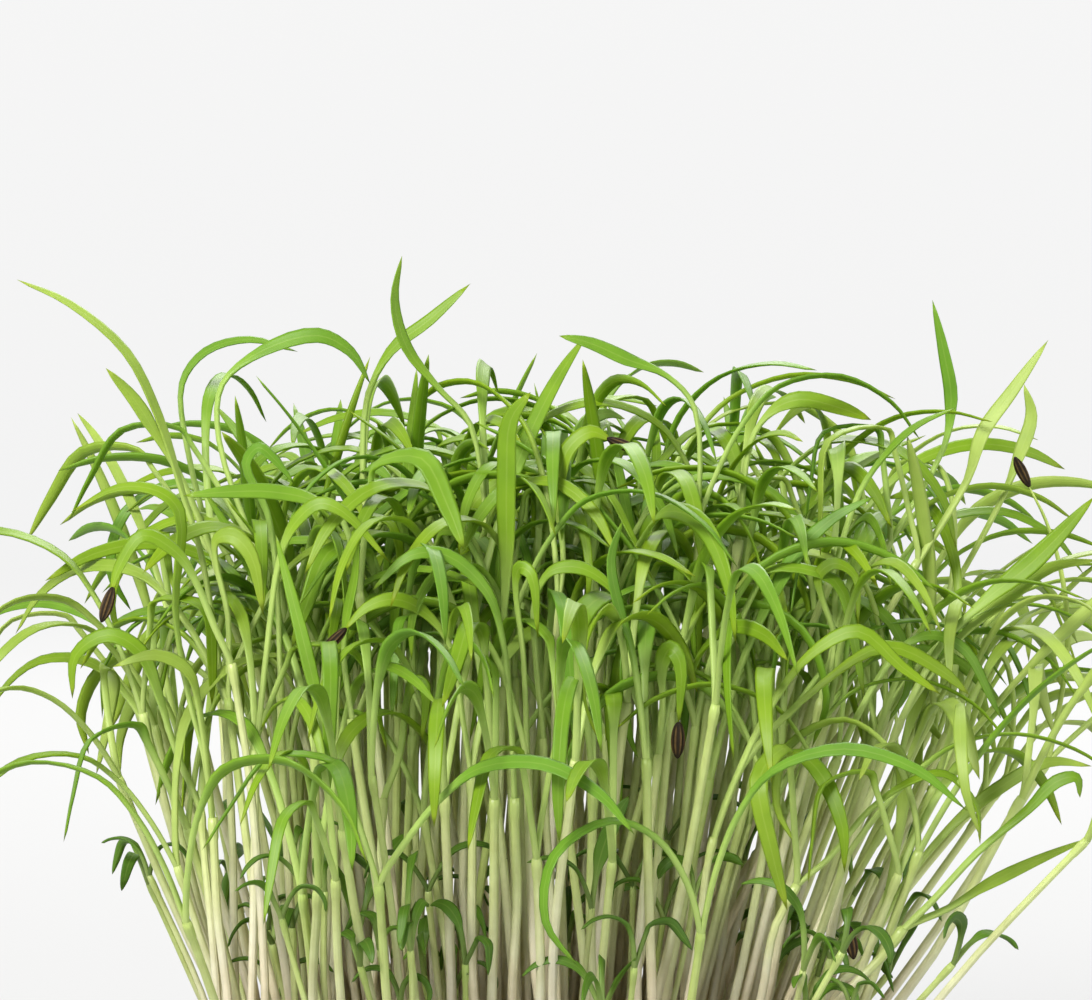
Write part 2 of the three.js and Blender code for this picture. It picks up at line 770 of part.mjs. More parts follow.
// All the rings of a seedling: the stem runs on into its first leaf, and the others start inside the node
function seedlingRings(seedling) {
  const stem = seedling.stem;
  const node = stem[stem.length - 1];
  const below = node.clone().lerp(stem[stem.length - 2], LEAF_IN_NODE);
  return seedling.leaves.map((leaf, index) => {
    const section = leafSection(leaf.route.length, leaf.width);
    const started = index === 0 ? stem : [below];
    const points = [...started, ...leaf.route];
    const thin = index === 0 ? 1 : FURTHER_LEAF;
    const widths = [...started.map(() => STEM_SIDE * thin), ...section.widths];
    const deeps = [...started.map(() => STEM_DEEP * thin), ...section.deeps];
    const rolls = [...started.map(() => leaf.rolls[0]), ...leaf.rolls];
    return ringsAlong(points, widths, deeps, leaf.reference, rolls);
  });
}

// Points spread over a seedling, with the room that each one needs
function samplesOf(ringSets, stemParts) {
  const samples = [];
  ringSets.forEach((rings, index) => {
    for (let i = index === 0 ? 1 : 0; i < rings.length - 1; i += 1) {
      const from = rings[i];
      const to = rings[i + 1];
      const steps = Math.ceil(from.point.distanceTo(to.point) / SAMPLE_STEP);
      const isStem = index === 0 && i < stemParts;
      for (let step = 0; step < steps; step += 1) {
        const along = (step + 0.5) / steps;
        const middle = from.point.clone().lerp(to.point, along);
        if (isStem) {
          samples.push({ place: middle, room: STEM_ROOM, stem: true });
        } else {
          const across = from.across.clone().multiplyScalar(from.width).lerp(
            to.across.clone().multiplyScalar(to.width), along);
          for (const side of [-BLADE_EDGE, 0, BLADE_EDGE]) {
            const place = middle.clone().addScaledVector(across, side);
            samples.push({ place, room: LEAF_ROOM, stem: false });
          }
        }
      }
    }
  });
  return samples;
}

// What is taken already, and what of the traced leaves must stay in sight
const taken = new Map();
const kept = new Map();

function cellKey(x, y, z) {
  return (Math.floor(x / ROOM_CELL) * 512 + Math.floor(y / ROOM_CELL)) * 512 + Math.floor(z / ROOM_CELL);
}

function sightKey(point) {
  const [x, z] = shownAt(point);
  return Math.floor(x) * 512 + Math.floor(z);
}

function isFree(samples, group) {
  for (const { place, room, stem } of samples) {
    const outside = Math.abs(place.x) > PUSH_X + innerRadius(SOIL_TOP) - ROOM_AT_WALL
      || Math.abs(place.y) > PUSH_Y + innerRadius(SOIL_TOP) - ROOM_AT_WALL;
    if (outside && place.z < TRAY_HEIGHT + ROOM_AT_WALL) {
      return false;
    }
    if (!stem && place.z < LEAVES_FROM) {
      return false;
    }
    for (let i = -1; i <= 1; i += 1) {
      for (let j = -1; j <= 1; j += 1) {
        for (let k = -1; k <= 1; k += 1) {
          const key = cellKey(place.x + i * ROOM_CELL, place.y + j * ROOM_CELL, place.z + k * ROOM_CELL);
          for (const other of taken.get(key) ?? []) {
            const fused = other.group === group && place.z < FUSED_UP_TO;
            const need = room + other.room + ROOM_BETWEEN;
            if (!fused && other.place.distanceToSquared(place) < need * need) {
              return false;
            }
          }
        }
      }
    }
  }
  return true;
}

function hidesTraced(samples) {
  let hiding = 0;
  for (const { place } of samples) {
    const depth = kept.get(sightKey(place));
    if (depth !== undefined && depth > place.y) {
      hiding += 1;
    }
  }
  return hiding > samples.length * HIDING_SHARE;
}

function take(samples, group) {
  for (const { place, room } of samples) {
    const key = cellKey(place.x, place.y, place.z);
    if (!taken.has(key)) {
      taken.set(key, []);
    }
    taken.get(key).push({ place, room, group });
  }
}

function keepInSight(samples) {
  for (const { place, stem } of samples) {
    if (!stem) {
      const key = sightKey(place);
      kept.set(key, Math.min(place.y, kept.get(key) ?? Infinity));
    }
  }
}

function makeGroups() {
  const groups = [];
  for (let row = 1; row <= ROWS; row += 1) {
    for (let column = 1; column <= COLUMNS; column += 1) {
      groups.push({
        row,
        column,
        number: groups.length,
        x: (column - (COLUMNS + 1) / 2) * COLUMN_STEP,
        y: (row - (ROWS + 1) / 2) * ROW_STEP,
        seedlings: [],
      });
    }
  }
  return groups;
}

function addSeedling(seedling) {
  const ringSets = seedlingRings(seedling);
  const samples = samplesOf(ringSets, seedling.stem.length - 1);
  seedling.ringSets = ringSets;
  seedling.group.seedlings.push(seedling);
  take(samples, seedling.group);
  return samples;
}

function growTraced(groups) {
  for (const traced of TRACED) {
    for (const shift of DEPTH_SHIFTS) {
      const seedling = tracedSeedling(traced, groups, shift);
      const samples = samplesOf(seedlingRings(seedling), seedling.stem.length - 1);
      if (isFree(samples, seedling.group)) {
        addSeedling(seedling);
        keepInSight(samples);
        break;
      }
    }
  }
}

function growDrawn(groups) {
  for (let index = 0; index < SEEDLINGS_PER_GROUP; index += 1) {
    for (const group of groups) {
      const inner = group.row > 1 && group.row < ROWS;
      const thinned = inner && index === SEEDLINGS_PER_GROUP - 1 && (group.row + group.column) % 3 !== 0;
      if (thinned || group.seedlings.length >= SEEDLINGS_PER_GROUP) {
        continue;
      }
      for (let attempt = 0; attempt < ATTEMPTS; attempt += 1) {
        const seedling = drawnSeedling(group, index, attempt);
        const samples = samplesOf(seedlingRings(seedling), seedling.stem.length - 1);
        if (!hidesTraced(samples) && isFree(samples, group)) {
          addSeedling(seedling);
          break;
        }
      }
    }
  }
}

function makeSprouts(group) {
  const height = PLUG_DEPTH - PLUG_BELOW_SOIL;
  const plug = upright(new THREE.CylinderGeometry(PLUG_RADIUS, PLUG_RADIUS, height, PLUG_SIDES));
  plug.translate(group.x, group.y, SOIL_TOP - PLUG_BELOW_SOIL - height / 2);
  let solid = toSolid(plug);
  for (const seedling of group.seedlings) {
    for (const rings of seedling.ringSets) {
      solid = solid.add(rod(rings));
    }
  }
  return solid;
}

// A husk stands off the leaf tip that shows nearest to its place
function huskAt(place, tips) {
  const away = (tip) => {
    const [x, z] = shownAt(tip.end);
    return Math.hypot(x - place[0], z - place[1]);
  };
  const near = tips.filter((tip) => !tip.used && tip.end.y < HUSKS_BEFORE);
  near.sort((a, b) => away(a) - away(b));
  for (const tip of near) {
    const middle = tip.end.clone().addScaledVector(tip.way, HUSK_GAP + HUSK_LENGTH / 2);
    const samples = [-0.3, 0, 0.3].map((share) => ({
      place: middle.clone().addScaledVector(tip.way, share * HUSK_LENGTH),
      room: HUSK_WIDTH / 2 - ROOM_BETWEEN,
      stem: false,
    }));
    if (isFree(samples, null)) {
      tip.used = true;
      take(samples, null);
      return { middle, way: tip.way };
    }
  }
  return null;
}

function leafTips(groups) {
  const tips = [];
  for (const group of groups) {
    for (const seedling of group.seedlings) {
      for (const { route } of seedling.leaves) {
        const end = route[route.length - 1];
        const way = end.clone().sub(route[route.length - 2]).normalize();
        tips.push({ end, way, used: false });
      }
    }
  }
  return tips;
}

function makeHusk({ middle, way }) {
  const geometry = new THREE.SphereGeometry(1, 6, 4);
  geometry.scale(HUSK_WIDTH / 2, HUSK_LENGTH / 2, HUSK_WIDTH / 2);
  const turn = new THREE.Quaternion().setFromUnitVectors(new THREE.Vector3(0, 1, 0), way);
  geometry.applyQuaternion(turn);
  geometry.translate(middle.x, middle.y, middle.z);
  return toSolid(geometry);
}

function addMesh(name, solid, colour, roughness) {
  const material = new THREE.MeshStandardMaterial({ color: colour, roughness, metalness: 0 });
  const mesh = new THREE.Mesh(toGeometry(solid), material);
  mesh.name = name;
  model.add(mesh);
}

const model = new THREE.Group();
const groups = makeGroups();
growTraced(groups);
growDrawn(groups);
addMesh('tray', makeTray(), COLOURS.tray, 0.45);
addMesh('soil', makeSoil(groups), COLOURS.soil, 0.95);
for (const group of groups) {
  addMesh(`sprouts_${group.row}_${group.column}`, makeSprouts(group), COLOURS.sprouts, 0.5);
}

const tips = leafTips(groups);
HUSK_PLACES.forEach((place, i) => {
  const spot = huskAt(place, tips);
  addMesh(`seed_husk_${i + 1}`, makeHusk(spot), COLOURS.husk, 0.7);
});

export default model;
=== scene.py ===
"""The looks of a small tray of long-leaved seedlings, grown to be cut for salads.

Lengths of the seedlings and the soil are worked out in millimetres, as they were drawn, and
turned into metres where a mesh is written. The seedlings stand exactly where the frame's solids
do: the same seeded draws and the same traced routes make them again, with finer leaves.
"""

import math

import bmesh
import bpy
import numpy as np
from bpy.props import FloatProperty, FloatVectorProperty, IntProperty, PointerProperty
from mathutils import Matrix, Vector
from mathutils import noise as field


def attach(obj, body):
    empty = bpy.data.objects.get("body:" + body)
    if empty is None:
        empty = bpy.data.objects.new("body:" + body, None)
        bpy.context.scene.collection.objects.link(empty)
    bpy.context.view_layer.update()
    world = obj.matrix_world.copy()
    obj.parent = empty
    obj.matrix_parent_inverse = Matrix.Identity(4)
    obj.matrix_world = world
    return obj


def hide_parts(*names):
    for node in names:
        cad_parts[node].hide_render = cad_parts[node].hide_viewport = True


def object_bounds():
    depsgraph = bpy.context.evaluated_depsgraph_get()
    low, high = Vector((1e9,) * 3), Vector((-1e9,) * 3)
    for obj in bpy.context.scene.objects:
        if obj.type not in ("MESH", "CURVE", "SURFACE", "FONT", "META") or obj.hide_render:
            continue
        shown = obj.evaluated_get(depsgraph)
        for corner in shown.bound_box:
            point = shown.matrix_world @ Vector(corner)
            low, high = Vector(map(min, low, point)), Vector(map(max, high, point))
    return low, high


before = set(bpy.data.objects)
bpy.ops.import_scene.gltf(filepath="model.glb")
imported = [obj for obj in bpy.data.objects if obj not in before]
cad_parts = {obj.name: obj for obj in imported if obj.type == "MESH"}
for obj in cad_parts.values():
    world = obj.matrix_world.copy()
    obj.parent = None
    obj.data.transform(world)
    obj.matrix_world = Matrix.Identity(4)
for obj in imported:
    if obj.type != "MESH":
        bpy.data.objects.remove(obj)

bl_info = {
    "name": "Microgreens tray",
    "version": (1, 0, 0),
    "blender": (4, 5, 0),
    "location": "View3D > Sidebar > Microgreens",
    "description": "Builds a tray of herb seedlings with its soil, seed husks and studio",
    "category": "Object",
}

CAD_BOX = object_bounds()
MM = 0.001
BODY = "root"

# Tray, in millimetres
TRAY_LENGTH = 106.0
TRAY_WIDTH = 80.0
TRAY_HEIGHT = 30.0
RIM_RADIUS = 14.0
RIM_FLANGE = 4.0
WALL = 1.2
WALL_DRAFT = 2.5
LIP_DROP = 4.0
LIP_THICKNESS = 0.7
PUSH_X = TRAY_LENGTH / 2 - RIM_RADIUS
PUSH_Y = TRAY_WIDTH / 2 - RIM_RADIUS
WALL_TOP = RIM_RADIUS - RIM_FLANGE
WALL_FOOT = WALL_TOP - WALL_DRAFT
SLOT_LENGTH = 12.0
SLOT_WIDTH = 3.0
SLOT_SPREAD = (20.0, 13.0)
SOIL_TOP = 26.5
FIT_GAP = 0.3

# The top of the soil: its lumps and grit, how far from the wall it is lower and by how much,
# and the sizes of its loose crumbs and how far out they lie
SOIL_LUMPS = 0.75
SOIL_GRIT = 0.35
SOIL_EDGE = 1.6
SOIL_EDGE_DROP = 1.0
SOIL_HIGHEST = SOIL_TOP + 1.4
CRUMB_SIZE = (0.35, 0.95)
CRUMB_REACH = 7.0

# The floor and the backdrop, in metres
FLOOR_REACH = 9.0
FLOOR_BEHIND = 1.2
SWEEP_RADIUS = 0.9
SWEEP_STEPS = 16
BACKDROP_TOP = 3.5

# Groups of seedlings
COLUMNS = 8
ROWS = 6
COLUMN_STEP = 10.5
ROW_STEP = 10.0
SEEDLINGS_PER_GROUP = 3
ATTEMPTS = 26

# Seedlings
STEM_SIDE = 1.6
STEM_DEEP = 1.4
STEM_LENGTH = 55.0
STEM_SPREAD = 9.0
STEM_SHORTER_AT_ENDS = 13.0
ROOT_DEPTH = 5.0
BASE_RING = 2.3
LEAN_RIGHT = 0.72
LEAN_LEFT = 0.34
LEAN_AWAY = 0.42
PETIOLE_WIDTH = 1.5
PETIOLE_DEEP = 1.2
BLADE_DEEP = 0.9
LEAF_SHORTEST = 37.0
LEAF_LONGEST = 50.0
STUNTED_SHARE = 0.12
STUNTED_SHORTEST = 14.0
STUNTED_LONGEST = 34.0
STUNTED_LEAF = (0.2, 0.34)
STUNTED_NARROWER = 0.7
STEM_SCATTER = 0.13
STEM_BOW = 1.6
STEM_BOWS_OUT = 2.2
LEAF_PARTS = (0.16, 0.17, 0.15, 0.19, 0.18, 0.15)
LEAF_RISE = (58.0, 84.0)
LEAF_SWEEP = 26.0
LEAF_LEAN = 0.6
LEAF_ROLL = 25.0
LEAF_TWIST = 60.0
LEAF_WIDTHS = (2.4, 3.5)
FOLD_PART = 2
FOLD_SHORTER = 0.45

# Where along a leaf of the solids its blade starts and is full, where it narrows and how fast
BLADE_FROM = 0.28
BLADE_OPENS_OVER = 0.3
TIP_FROM = 0.72
TIP_NARROWS = 1.1

# How far a leaf starts inside the node, and how much thinner a second leaf starts
LEAF_IN_NODE = 0.08
FURTHER_LEAF = 0.8

# The foot of a traced seedling: its share of the stem's slope and shift, and how far it may go
FOOT_SLOPE = 0.8
FOOT_SHIFT = 0.3
FOOT_REACH = 2.7
FOOT_DEPTH_REACH = 1.6
LOW_SHIFT = 0.4
LEAST_RISE = 4.0
TURN_AT_STALK = 0.35

# Room kept round a stem, round a leaf and between the two
STEM_ROOM = 0.85
LEAF_ROOM = 0.55
ROOM_BETWEEN = 0.5
ROOM_CELL = 2.6
SAMPLE_STEP = 1.1
BLADE_EDGE = 0.38
ROOM_AT_WALL = 2.2
LEAVES_FROM = SOIL_TOP + 2
FUSED_UP_TO = SOIL_TOP + 14

# The most of a drawn seedling that may stand before the traced leaves
HIDING_SHARE = 0.07

# The fine forms: parts of the curve between two points of a route, and sides of every tube
CURVE_PARTS = 4
TUBE_SIDES = 8

# How a fine blade differs from one to the next: where it opens and over how much of the leaf,
# how blunt its tip is, and its width and its stalk's as shares of the solid's
OPENS_FROM = (0.32, 0.5)
OPENS_OVER = 0.24
BLUNTNESS = (1.5, 3.2)
FINE_NARROWER = (0.72, 0.92)
FINE_STALK = (0.54, 0.68)
STUNTED_STALK = 0.5

# The sheath under a node: how far below it the rings stand and how thick the last three are
SHEATH_RINGS = (2.9, 2.5, 1.0)
SHEATH_SWELLS = (1.02, 1.12, 0.95)
SHEATH_CLEAR = 4.0

# Where leaves start to be paler towards the two ends, and over how far they are
PALE_FROM = 30.0
PALE_OVER = 30.0

# A leaf's tone: how far it is from its stem's, and what a pale and a stunted one add
TONE_SPREAD = 0.25
PALE_TONE = (0.3, 1.0)
STUNTED_TONE = (0.4, 1.0)

# The most that a stem winds to either side
STEM_WAVE = 0.55

# The scattered seedlings, which fill the stand between those of the solids
SCATTER_RING = 6.6
SCATTERED_STUNTED_SHARE = 0.03
SCATTERED_TALLER = 8.5
SCATTERED_SHORTER = 15.0
SCATTERED_LEAN = 0.55
SCATTERED_STEM_ROOM = 0.45
SCATTERED_LEAF_ROOM = -0.25
SCATTERED_ATTEMPTS = 12
CANOPY_TOP = 126.0
CANOPY_FALL = 10.0
CANOPY_HALF = 64.0
OVER_SOLIDS = 1.0
MOST_AT_ENDS = 5
SCATTERED_NARROWER = 0.82
SECOND_LEAF_ATTEMPTS = 14
SECOND_LEAF_ROOM = -0.5
SECOND_LEAF_TURN = 70.0
SECOND_LEAF_PULL = 8.0
NODE_ROOM = 6.0

# Seed husks
HUSK_LENGTH = 4.2
HUSK_WIDTH = 1.9
HUSK_GAP = 0.3
HUSK_PLACES = ((-49.5, 100.5), (9.5, 119.5), (-18, 76.5), (41, 56), (-25.5, 87), (19.5, 83.5), (58, 102))
HUSKS_BEFORE = 8.0

# The ribs of a fine husk, its section as shares of its width, how it narrows to its beak, how
# much longer its neck is and how far it is drawn back over the leaf's tip
HUSK_RIBS = 7
HUSK_BETWEEN_RIBS = 0.8
HUSK_RIB_RISE = 0.26
HUSK_ROUND = 0.94
HUSK_FLAT = 0.72
HUSK_BEAK = 0.3
HUSK_NECK = 1.2
HUSK_OVER_TIP = 0.5

# The viewer that the traced seedlings were drawn for, and the upright plane they were drawn on
VIEWER = (1.4, -444.2, 132.1)
DRAWN_PLANE = -25.0
AIM = (1.4, -25.0, 106.5)
LENS = 110.8

# How a leaf bends: the share of the whole bend at each of its six parts, the least and the most
# of it in degrees, and the draw above which a leaf bends so
ARCH = ((0.06, 0.12, 0.26, 0.26, 0.18, 0.12), 95.0, 165.0, 0.0)
ERECT = ((0.1, 0.15, 0.2, 0.2, 0.2, 0.15), 12.0, 55.0, 0.5)
FOLD = ((0.02, 0.04, 0.44, 0.42, 0.05, 0.03), 130.0, 165.0, 0.7)
CURL = ((0.08, 0.14, 0.22, 0.22, 0.19, 0.15), 185.0, 235.0, 0.86)
BENDS = (CURL, FOLD, ERECT, ARCH)
SCATTERED_ERECT = 0.64

# The depth shifts tried in turn until a traced seedling is clear of those before it
DEPTH_SHIFTS = (0, 1.6, -1.6, 3.2, -3.2, 4.8, -4.8, 6.4, -6.4, 8, 9.6, 11.2, 12.8)

# Seedlings drawn from life: the row counted from the front, the stem's route and each leaf as
# (route, blade width, turn of its top to the viewer, how far its tip goes back)
TRACED = (
    (1, ((-35.5, 45), (-35.5, 66.5), (-35, 75)),
     ((((-33.5, 89), (-32, 99), (-30, 103.5), (-27, 106), (-24, 105), (-18, 98.5)), 2.6, 62, -3),)),
    (2, ((-37.5, 44.5), (-38, 61.5), (-39, 81.5)),
     ((((-41.5, 99), (-44, 107.5), (-47, 117), (-51, 125), (-58, 131), (-64.5, 134)), 2.2, 35, 4),)),
    (1, ((-39, 45), (-40, 56), (-40.5, 66.5)),
     ((((-41.5, 74.5), (-43.5, 82.5), (-45, 93), (-44.5, 105), (-47, 107.5), (-52, 108), (-58, 105)),
       2.4, 48, 2),
      (((-42, 80), (-43.5, 85), (-47.5, 87), (-53, 85.5)), 2.3, 60, -4))),
    (1, ((-41, 53), (-42, 67.5)),
     ((((-45, 75), (-47, 81.5), (-49.5, 87.5), (-53.5, 89.5), (-57.5, 87), (-58, 81.5)), 2.5, 55, 2),)),
    (1, ((-34, 46), (-35.5, 69), (-38, 86)),
     ((((-40, 90.5), (-42.5, 96.5), (-45, 100), (-49, 102), (-52, 98), (-53, 95)), 2.4, 58, -5),)),
    (1, ((-34, 49), (-37, 70), (-38.5, 81.5)),
     ((((-38.5, 92), (-40, 99), (-39.8, 101.5), (-37.8, 102), (-35.5, 99.5), (-34, 92)), 3.0, 80, -4),)),
    (2, ((-30.5, 49), (-31.5, 71.5), (-32, 84)),
     ((((-32.5, 98), (-33.5, 105), (-36, 111), (-34.5, 113), (-32.5, 111.5), (-30, 108.5)), 2.5, 50, -3),)),
    (2, ((-18, 56.5), (-20, 79), (-22, 95)),
     ((((-24, 104), (-28, 106.5), (-33, 107.5), (-38, 107.5), (-44, 107)), 2.5, 66, -6),)),
    (1, ((-7.5, 46), (-8, 60), (-8, 72)),
     ((((-9, 79), (-10.5, 88), (-14, 92.5), (-17.5, 94), (-21, 93), (-24, 90)), 2.6, 55, -3),)),
    (1, ((-19, 46), (-20.5, 61.5), (-23, 79)),
     ((((-24, 87), (-23.5, 92), (-22.5, 97), (-22, 104)), 2.4, 50, 3),)),
    (1, ((-2.5, 46), (-2.5, 59), (-2.5, 69)),
     ((((-3, 80), (-4, 89), (-6, 95), (-11, 99.5), (-15.5, 99.5), (-20.5, 95)), 2.3, 58, -5),)),
    (1, ((0, 46), (-0.5, 61.5), (-1, 74.5)),
     ((((-1.5, 87), (-2.4, 96), (-1.8, 98), (-0.4, 97), (0.4, 89)), 2.4, 75, -6),)),
    (2, ((-5, 48), (-4.5, 69), (-4, 83)),
     ((((-4, 89), (-3.5, 99), (-3.5, 109), (-3, 116.5), (-0.5, 120)), 3.3, 78, -4),)),
    (1, ((2.5, 46), (1.5, 65), (1, 76.5)),
     ((((0, 87), (0, 94), (2, 97.5), (5.5, 98), (9, 96), (11.5, 92.5)), 2.6, 58, -3),)),
    (2, ((1.5, 45), (2, 69.5), (2.5, 84.5), (3, 94)),
     ((((3.5, 99), (3, 106.5), (4, 112.5), (7, 115), (9.5, 114)), 2.6, 60, 2),)),
    (1, ((14.5, 46), (14.5, 61.5), (14, 74)),
     ((((13, 83), (12, 88.5), (10.5, 93), (9.5, 99), (11, 104)), 2.5, 55, 2),)),
    (1, ((13, 46), (14.5, 63), (15.5, 74.5)),
     ((((16, 81.5), (16, 86), (17, 87.8), (18.2, 86), (18, 78)), 3.0, 82, -4),)),
    (1, ((-20.5, 46), (-19.5, 59), (-19, 69)),
     ((((-17, 74.5), (-16, 81.5), (-15, 83.5), (-13.8, 83), (-14.2, 76)), 2.6, 78, -3),)),
    (1, ((19.5, 46), (21, 56.5), (22.5, 64)),
     ((((25, 71), (29.5, 80.5), (34.5, 87), (40.5, 90), (46, 85.5), (51, 82)), 2.6, 62, -5),
      (((26, 73), (35.5, 83), (44, 88), (51, 85), (54.5, 82)), 2.4, 58, 4))),
    (2, ((29.5, 46), (33, 61.5), (38, 74)),
     ((((41.5, 81.5), (46, 88), (50, 89.5), (54, 87.5), (57, 82), (58.5, 79)), 2.4, 60, 2),)),
    (2, ((33, 46), (39.5, 63), (46, 79)),
     ((((51, 88.5), (56, 93.5), (62, 98.5), (65.5, 102), (70, 107)), 3.3, 74, 2),
      (((53, 89), (59, 94), (64.5, 98), (70.5, 99)), 2.6, 60, 6))),
    (2, ((27, 46), (32, 65), (36, 81.5)),
     ((((37.5, 89), (36, 94), (35.5, 97), (37.5, 98.5), (40, 97), (40.5, 90.5)), 2.6, 55, -3),)),
    (1, ((40, 45), (43.5, 48.5), (46.5, 52.5)),
     ((((50, 56), (55.5, 62), (62, 67.5), (65.5, 71), (68, 71.5), (68.5, 69)), 2.3, 55, -2),
      (((52, 55), (57, 58), (63, 61), (70, 64)), 2.2, 65, 5))),
    (2, ((38, 45), (41, 48), (43.5, 53)),
     ((((47, 59), (52, 65), (58, 70), (64.5, 73.5), (70, 73)), 2.4, 58, 4),)),
    (1, ((29, 46), (30.5, 53), (33, 58)),
     ((((37, 61.5), (42, 67.5), (47, 71), (51.5, 72), (55.5, 68), (56, 63)), 2.2, 25, -4),)),
    (3, ((-35.5, 81.5), (-40, 99)),
     ((((-44, 109), (-47.5, 115), (-50, 119), (-53.5, 123)), 2.6, 60, 0),)),
    (4, ((-33, 79), (-40, 99)),
     ((((-43.5, 113), (-44, 121), (-41, 125), (-35.5, 126.5), (-29.5, 125)), 2.4, 40, 0),)),
    (3, ((-29.5, 79), (-35.5, 101.5)),
     ((((-39.5, 114), (-39, 121), (-34, 125), (-27, 127), (-23, 125), (-20.5, 121)), 3.2, 64, 3),)),
    (3, ((-5.5, 79), (-6, 104)),
     ((((-8, 116), (-12, 120.5), (-16, 125.5), (-17.5, 131.5), (-16.5, 137)), 2.3, 50, 0),)),
    (4, ((-22, 81.5), (-21.5, 106.5)),
     ((((-21, 119), (-18, 125), (-13, 129), (-8, 133.5)), 2.6, 60, 2),)),
    (3, ((19.5, 81.5), (20.5, 104)),
     ((((20, 118), (16.5, 122), (11.5, 124), (7, 126), (3, 127)), 2.6, 58, 2),)),
    (3, ((23, 79), (25.5, 101.5)),
     ((((27, 114), (29.5, 117.5), (33, 119), (38, 118), (42, 116.5)), 2.8, 62, -2),)),
    (4, ((33, 79), (44.5, 101.5)),
     ((((51, 113), (52, 119), (51, 125), (49.5, 131.5)), 2.7, 62, 2),)),
    (3, ((37, 79), (48, 99)),
     ((((54, 109), (56, 115), (59.5, 120), (64, 126.5)), 2.8, 68, 2),)),
    (4, ((38, 76.5), (52, 95)),
     ((((58, 106), (60.5, 112), (62, 117), (61, 121)), 2.6, 60, 2),)),
    (3, ((39.5, 74), (55.5, 91.5)),
     ((((62.5, 100.5), (64.5, 106.5), (65, 110.5), (63, 114)), 2.8, 66, -2),)),
    (3, ((29.5, 76.5), (37, 96.5)),
     ((((40.5, 107.5), (44.5, 113), (48, 116), (52.5, 118)), 2.2, 30, -2),)),
    (2, ((18, 51.5), (22, 71.5)),
     ((((25.5, 85), (29, 93), (33, 100), (37, 104), (42.5, 107)), 2.9, 60, -2),)),
)


# Arithmetic on points kept as plain tuples, in double precision as the solids were worked out

def plus(a, b, times=1.0):
    return (a[0] + b[0] * times, a[1] + b[1] * times, a[2] + b[2] * times)


def minus(a, b):
    return (a[0] - b[0], a[1] - b[1], a[2] - b[2])


def dot(a, b):
    return a[0] * b[0] + a[1] * b[1] + a[2] * b[2]


def cross(a, b):
    return (a[1] * b[2] - a[2] * b[1], a[2] * b[0] - a[0] * b[2], a[0] * b[1] - a[1] * b[0])


def unit(a):
    long = math.sqrt(dot(a, a)) or 1.0
    return (a[0] / long, a[1] / long, a[2] / long)


def mix(a, b, share):
    return a + (b - a) * share


def between(a, b, share):
    return (mix(a[0], b[0], share), mix(a[1], b[1], share), mix(a[2], b[2], share))


def sign(value):
    return (value > 0) - (value < 0)


def draws(seed):
    """Seeded draws, the same sequence each time."""
    state = (seed * 48271 + 11) % 4294967296

    def draw(low, high):
        nonlocal state
        state = (state * 1664525 + 1013904223) % 4294967296
        return low + (high - low) * (state / 4294967296)

    for _ in range(5):
        draw(0, 1)
    return draw


def on_sightline(x, z, y):
    """Where a point that shows at x, z on the drawn plane lies when it is as deep as y."""
    reach = (y - VIEWER[1]) / (DRAWN_PLANE - VIEWER[1])
    return (VIEWER[0] + (x - VIEWER[0]) * reach, y, VIEWER[2] + (z - VIEWER[2]) * reach)


def shown_at(point):
    """The reverse: where a point shows on the drawn plane."""
    reach = (DRAWN_PLANE - VIEWER[1]) / (point[1] - VIEWER[1])
    return (VIEWER[0] + (point[0] - VIEWER[0]) * reach, VIEWER[2] + (point[2] - VIEWER[2]) * reach)


def inner_radius(height):
    """The radius of the tray's inner corners at a height."""
    return mix(WALL_FOOT, WALL_TOP, height / TRAY_HEIGHT) - WALL


def rings_along(points, widths, deeps, reference, rolls):
    """The cross-sections along a route: each one's middle, way across, way up, width and depth."""
    rings = []
    last = len(points) - 1
    for i, point in enumerate(points):
        tangent = (0.0, 0.0, 0.0)
        if i > 0:
            tangent = plus(tangent, unit(minus(point, points[i - 1])))
        if i < last:
            tangent = plus(tangent, unit(minus(points[i + 1], point)))
        tangent = unit(tangent)
        side = unit(plus(reference, tangent, -dot(reference, tangent)))
        up = cross(tangent, side)
        roll = math.radians(rolls[i])
        across = plus(tuple(c * math.cos(roll) for c in side), up, math.sin(roll))
        rings.append((point, across, cross(tangent, across), widths[i], deeps[i]))
    return rings


def leaf_section(count, width):
    """The width and depth of a leaf along its parts, from its stalk to its tip."""
    widths = []
    deeps = []
    for i in range(1, count + 1):
        along = i / count
        opening = min(max((along - BLADE_FROM) / BLADE_OPENS_OVER, 0), 1)
        closing = 1 - (along - TIP_FROM) * TIP_NARROWS if along > TIP_FROM else 1
        widths.append(mix(PETIOLE_WIDTH, width, opening) * closing)
        deeps.append(mix(PETIOLE_DEEP, BLADE_DEEP, opening))
    return widths, deeps


